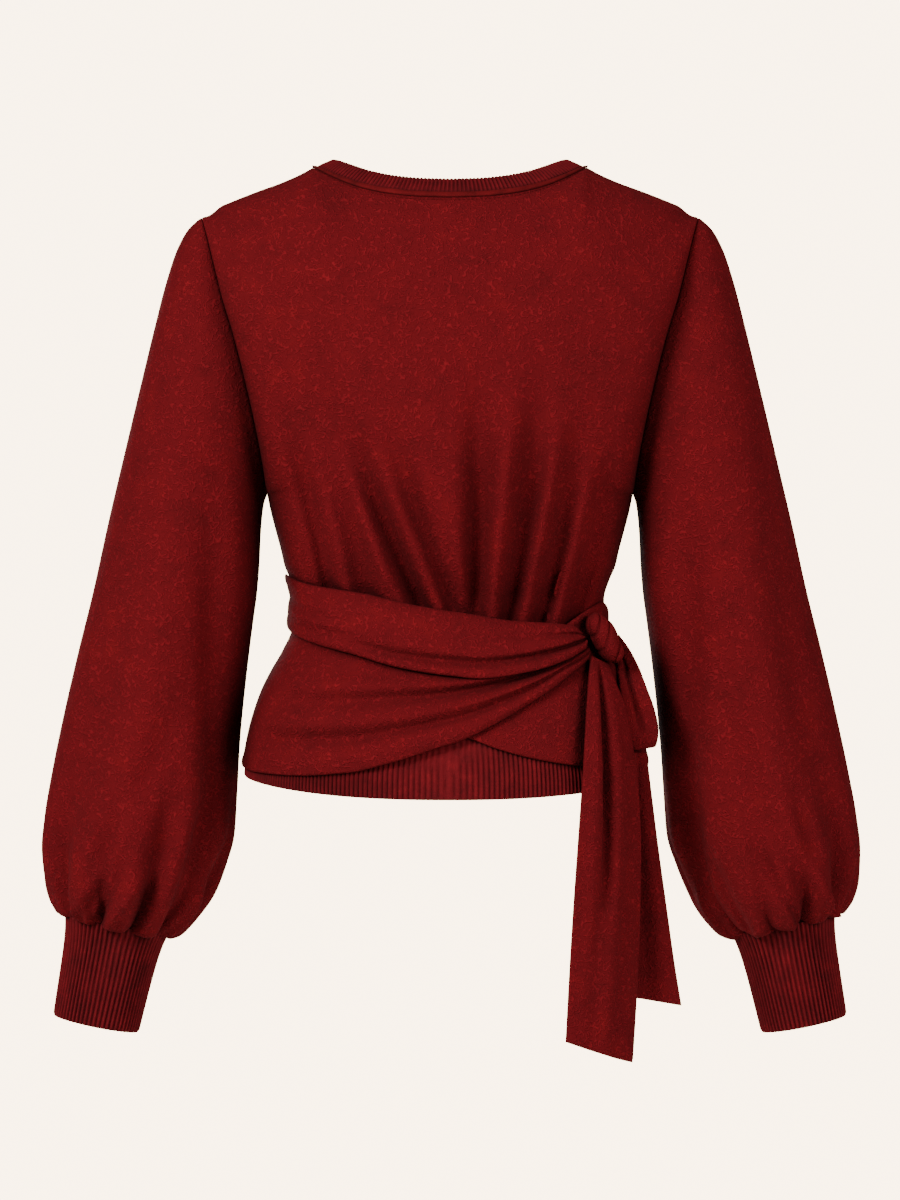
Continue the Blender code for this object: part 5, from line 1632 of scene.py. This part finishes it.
        dyes = ((0.30, self.deep), (0.50, self.body), (0.72, self.light))
        tone = add(tree, "ShaderNodeValToRGB", {"Fac": cloud}, dyes).outputs["Color"]
        nap = ((0.10, 0.88), (0.30, 0.95), (0.60, 1.06), (1.0, 1.36))
        grain = add(tree, "ShaderNodeValToRGB", {"Fac": height}, nap).outputs["Color"]
        product = {"data_type": "RGBA", "blend_type": "MULTIPLY"}
        colour = add(tree, "ShaderNodeMix", {0: 1.0, 6: tone, 7: grain}, **product).outputs[2]
        # Painted shade: the colour is darkened in folds and creases by ambient occlusion.
        closed = painted_fold_shade(tree, self.fold_reach, self.fold_painted_shade)
        colour = add(tree, "ShaderNodeMix", {0: 1.0, 6: colour, 7: closed}, **product).outputs[2]
        bump = add(
            tree,
            "ShaderNodeBump",
            {"Strength": 0.75, "Distance": self.relief, "Height": height},
        ).outputs["Normal"]
        tree.links.new(colour, shader.inputs["Base Color"])
        tree.links.new(bump, shader.inputs["Normal"])
        shader.inputs["Roughness"].default_value = 0.95
        shader.inputs["IOR"].default_value = 1.47
        shader.inputs["Specular IOR Level"].default_value = 0.12
        shader.inputs["Sheen Weight"].default_value = 0.10
        shader.inputs["Sheen Roughness"].default_value = 0.4
        shader.inputs["Sheen Tint"].default_value = linear("#B01A20")
        return material


@dataclass(frozen=True)
class RibKnit:
    """One-by-one rib in the same yarn, not brushed: smooth plump ribs with a fine grain
    of stitches, and painted shade that darkens the colour in the valleys between the ribs."""

    name: str = "cotton_rib_knit"
    deep: str = "#661117"
    body: str = "#72131A"
    light: str = "#80171E"
    stitch: float = 1.4 * MM
    relief: float = 0.35 * MM
    cloud: float = 14 * MM
    # Painted shade between the ribs: how near other cloth has to be, and the tone in the narrowest valleys.
    groove_reach: float = 5 * MM
    groove_painted_shade: float = 0.10

    def make(self) -> bpy.types.Material:
        """Builds the material."""
        material = bpy.data.materials.new(self.name)
        material.use_nodes = True
        tree = material.node_tree
        shader = tree.nodes["Principled BSDF"]
        where = add(tree, "ShaderNodeTexCoord", {}).outputs["Object"]
        cloud = add(
            tree,
            "ShaderNodeTexNoise",
            {"Vector": where, "Scale": 1 / self.cloud, "Detail": 3.0, "Roughness": 0.6},
        ).outputs["Fac"]
        grain = add(
            tree,
            "ShaderNodeTexNoise",
            {"Vector": where, "Scale": 1 / self.stitch, "Detail": 2.0, "Roughness": 0.65, "Distortion": 0.8},
        ).outputs["Fac"]
        dyes = ((0.32, self.deep), (0.52, self.body), (0.72, self.light))
        tone = add(tree, "ShaderNodeValToRGB", {"Fac": cloud}, dyes).outputs["Color"]
        stitches = ((0.30, 0.80), (0.55, 1.0), (0.80, 1.16))
        speck = add(tree, "ShaderNodeValToRGB", {"Fac": grain}, stitches).outputs["Color"]
        product = {"data_type": "RGBA", "blend_type": "MULTIPLY"}
        colour = add(tree, "ShaderNodeMix", {0: 1.0, 6: tone, 7: speck}, **product).outputs[2]
        # Painted shade: the colour is darkened in the rib valleys by ambient occlusion.
        closed = painted_fold_shade(tree, self.groove_reach, self.groove_painted_shade)
        colour = add(tree, "ShaderNodeMix", {0: 1.0, 6: colour, 7: closed}, **product).outputs[2]
        bump = add(
            tree, "ShaderNodeBump", {"Strength": 0.5, "Distance": self.relief, "Height": grain}
        ).outputs["Normal"]
        tree.links.new(colour, shader.inputs["Base Color"])
        tree.links.new(bump, shader.inputs["Normal"])
        shader.inputs["Roughness"].default_value = 0.86
        shader.inputs["IOR"].default_value = 1.47
        shader.inputs["Specular IOR Level"].default_value = 0.15
        shader.inputs["Sheen Weight"].default_value = 0.08
        shader.inputs["Sheen Roughness"].default_value = 0.5
        shader.inputs["Sheen Tint"].default_value = linear("#B01A20")
        return material


class Finish(Enum):
    """The finishes of the garment."""

    BRUSHED = "brushed_knit"
    RIB = "rib_knit"
    TAPE = "tape"

    def make(self) -> bpy.types.Material:
        """Builds this finish's material."""
        if self is Finish.BRUSHED:
            return BrushedKnit().make()
        if self is Finish.RIB:
            return RibKnit().make()
        return RibKnit("woven_neck_tape", "#580A0D", "#680E12", "#741216", 0.9 * MM, 0.25 * MM).make()


# ---------------------------------------------------------------- studio
@dataclass
class Studio:
    """A plain pale floor, soft lights and the camera."""

    floor_z: float = -1.45
    floor_half: float = 2.0
    backdrop: tuple[float, float, float] = (8.56, 6.57, 4.52)
    ambient: float = 0.11
    camera_place: tuple[float, float, float] = (0.0, -3.5, -0.3338)
    lens: float = 134.6

    def light(self, name: str, place: Sequence[float], size: float, power: float, tint: str) -> None:
        """A square soft light aimed at the middle of the garment."""
        lamp = bpy.data.lights.new(name, "AREA")
        lamp.shape = "SQUARE"
        lamp.size = size
        lamp.energy = power
        lamp.color = linear(tint)[:3]
        holder = bpy.data.objects.new(name, lamp)
        holder.location = place
        aim = Vector((0.0, 0.0, -0.34)) - Vector(place)
        holder.rotation_euler = aim.to_track_quat("-Z", "Y").to_euler()
        bpy.context.scene.collection.objects.link(holder)

    def build(self) -> None:
        """Builds the floor, the lights, the world and the camera."""
        half = self.floor_half
        corners = np.array(
            [[-half, -half, self.floor_z], [half, -half, self.floor_z], [half, half, self.floor_z]]
            + [[-half, half, self.floor_z]]
        )
        floor = mesh_object("studio_floor", corners, np.array([[0, 1, 2, 3]]))
        paint = bpy.data.materials.new("matt_pale_paint")
        paint.use_nodes = True
        shader = paint.node_tree.nodes["Principled BSDF"]
        shader.inputs["Base Color"].default_value = linear("#F7F3EE")
        shader.inputs["Roughness"].default_value = 0.9
        floor.data.materials.append(paint)

        world = bpy.data.worlds.new("studio_world")
        world.use_nodes = True
        tree = world.node_tree
        soft = tree.nodes["Background"]
        soft.inputs["Color"].default_value = linear("#FFFCF8")
        soft.inputs["Strength"].default_value = self.ambient
        paper = add(tree, "ShaderNodeBackground", {"Color": (*self.backdrop, 1.0), "Strength": 1.0})
        seen = add(tree, "ShaderNodeLightPath", {}).outputs["Is Camera Ray"]
        both = add(tree, "ShaderNodeMixShader", {0: seen, 1: soft.outputs[0], 2: paper.outputs[0]})
        tree.links.new(both.outputs[0], tree.nodes["World Output"].inputs["Surface"])
        bpy.context.scene.world = world

        self.light("key_softbox", (-1.95, -2.15, 0.95), 1.0, 91.0, "#FFFFFF")
        self.light("fill_softbox", (2.0, -2.1, 0.4), 1.2, 45.0, "#FFFFFF")
        self.light("far_softbox", (-0.9, 2.6, -0.1), 1.2, 36.0, "#FFFFFF")

        camera = bpy.data.cameras.new("view_from_behind")
        camera.lens = self.lens
        camera.sensor_width = 36.0
        holder = bpy.data.objects.new("view_from_behind", camera)
        holder.location = self.camera_place
        holder.rotation_euler = (math.radians(90), 0.0, 0.0)
        bpy.context.scene.collection.objects.link(holder)
        bpy.context.scene.camera = holder


# ---------------------------------------------------------------- the whole garment
@dataclass(frozen=True)
class Cut:
    """How a piece was cut: its flat width and length, the share of that rectangle that
    the cut fills, how it is held and what it rests on."""

    width: float
    length: float
    share: float
    held: str
    rests_on: tuple[str, ...]


# The flat size of what shows of each piece: its greatest width and length along the cloth's
# plain inner face, and the share of that rectangle which the face's area fills.
CUTS = {
    "back": Cut(0.469, 0.504, 0.759, "hung", ("front_over", "front_under")),
    "front_over": Cut(0.322, 0.552, 0.552, "hung", ("back", "front_under")),
    "front_under": Cut(0.315, 0.554, 0.56, "hung", ("back",)),
    "sleeve": Cut(0.529, 0.57, 0.628, "gathered", ("back",)),
    "cuff": Cut(0.243, 0.082, 0.871, "stretched", ("sleeve_left", "sleeve_right")),
    "neckband": Cut(1.222, 0.0165, 0.998, "stretched", ("back", "front_over", "front_under")),
    "hem_band": Cut(0.866, 0.051, 0.823, "stretched", ("back", "front_over", "front_under")),
    "wrap_under": Cut(0.252, 0.134, 0.586, "draped", ("back", "hem_band")),
    "wrap_lower": Cut(0.382, 0.126, 0.63, "draped", ("back", "hem_band", "wrap_under")),
    "wrap_sash": Cut(0.321, 0.059, 0.757, "draped", ("back", "wrap_lower", "wrap_under")),
    "bow_loop": Cut(0.172, 0.032, 0.674, "folded", ("knot", "wrap_under")),
    "tail_front": Cut(0.309, 0.072, 0.86, "hung", ("knot", "bow_loop")),
    "tail_back": Cut(0.197, 0.084, 0.777, "hung", ("bow_loop",)),
}


def dress(
    piece: bpy.types.Object,
    node: str,
    finish: Finish,
    materials: dict[Finish, Any],
) -> None:
    """Gives a piece its place and finish, and hides the solid that it stands for.

    Args:
        piece: The piece.
        node: The solid that it stands for, or "" for one that is only added.
        finish: Its finish.
        materials: The material of each finish.
    """
    piece.data.materials.append(materials[finish])
    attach(piece, ROOT)
    if node:
        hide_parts(node)
    cut = CUTS.get(node) or CUTS.get(node.split("_")[0])
    if cut is not None:
        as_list(cut.rests_on)
    LOG.info("%s: %d faces", piece.name, len(piece.data.polygons))


def main() -> None:
    """Builds every piece in order and reports it."""
    logging.basicConfig(level=logging.INFO, format="%(name)s: %(message)s")
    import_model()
    Studio().build()
    materials = {finish: finish.make() for finish in Finish}

    panels = BodyPanels().build()
    back, columns, over, under, rows = panels["edges"]
    knit, rib = Finish.BRUSHED, Finish.RIB
    trims = (panels["neck_tape"], panels["neck_stitches"])
    dress(trims[0], "neck_tape", Finish.TAPE, materials)
    dress(trims[1], "", Finish.TAPE, materials)
    dress(panels["back"], "back", knit, materials)
    dress(panels["front_over"], "front_over", knit, materials)
    dress(panels["front_under"], "front_under", knit, materials)

    neck = Neckband()
    path, span = neck.path(back, columns, over, under, rows)
    dress(neck.build(path, span), "neckband", rib, materials)
    dress(HemBand().build(), "hem_band", rib, materials)
    for side, folds in ((-1, LEFT_SLEEVE_FOLDS), (1, RIGHT_SLEEVE_FOLDS)):
        sleeve = Sleeve(side, folds)
        arm, cuff = sleeve.build()
        dress(arm, f"sleeve_{sleeve.word}", knit, materials)
        dress(cuff, f"cuff_{sleeve.word}", rib, materials)
    for node, panel in wrap_panels().items():
        dress(panel.build(), node, knit, materials)
    for node, strip in hanging_strips().items():
        dress(strip.build(), node, knit, materials)
    dress(Knot().build(), "knot", knit, materials)


if __name__ == "__main__":
    main()
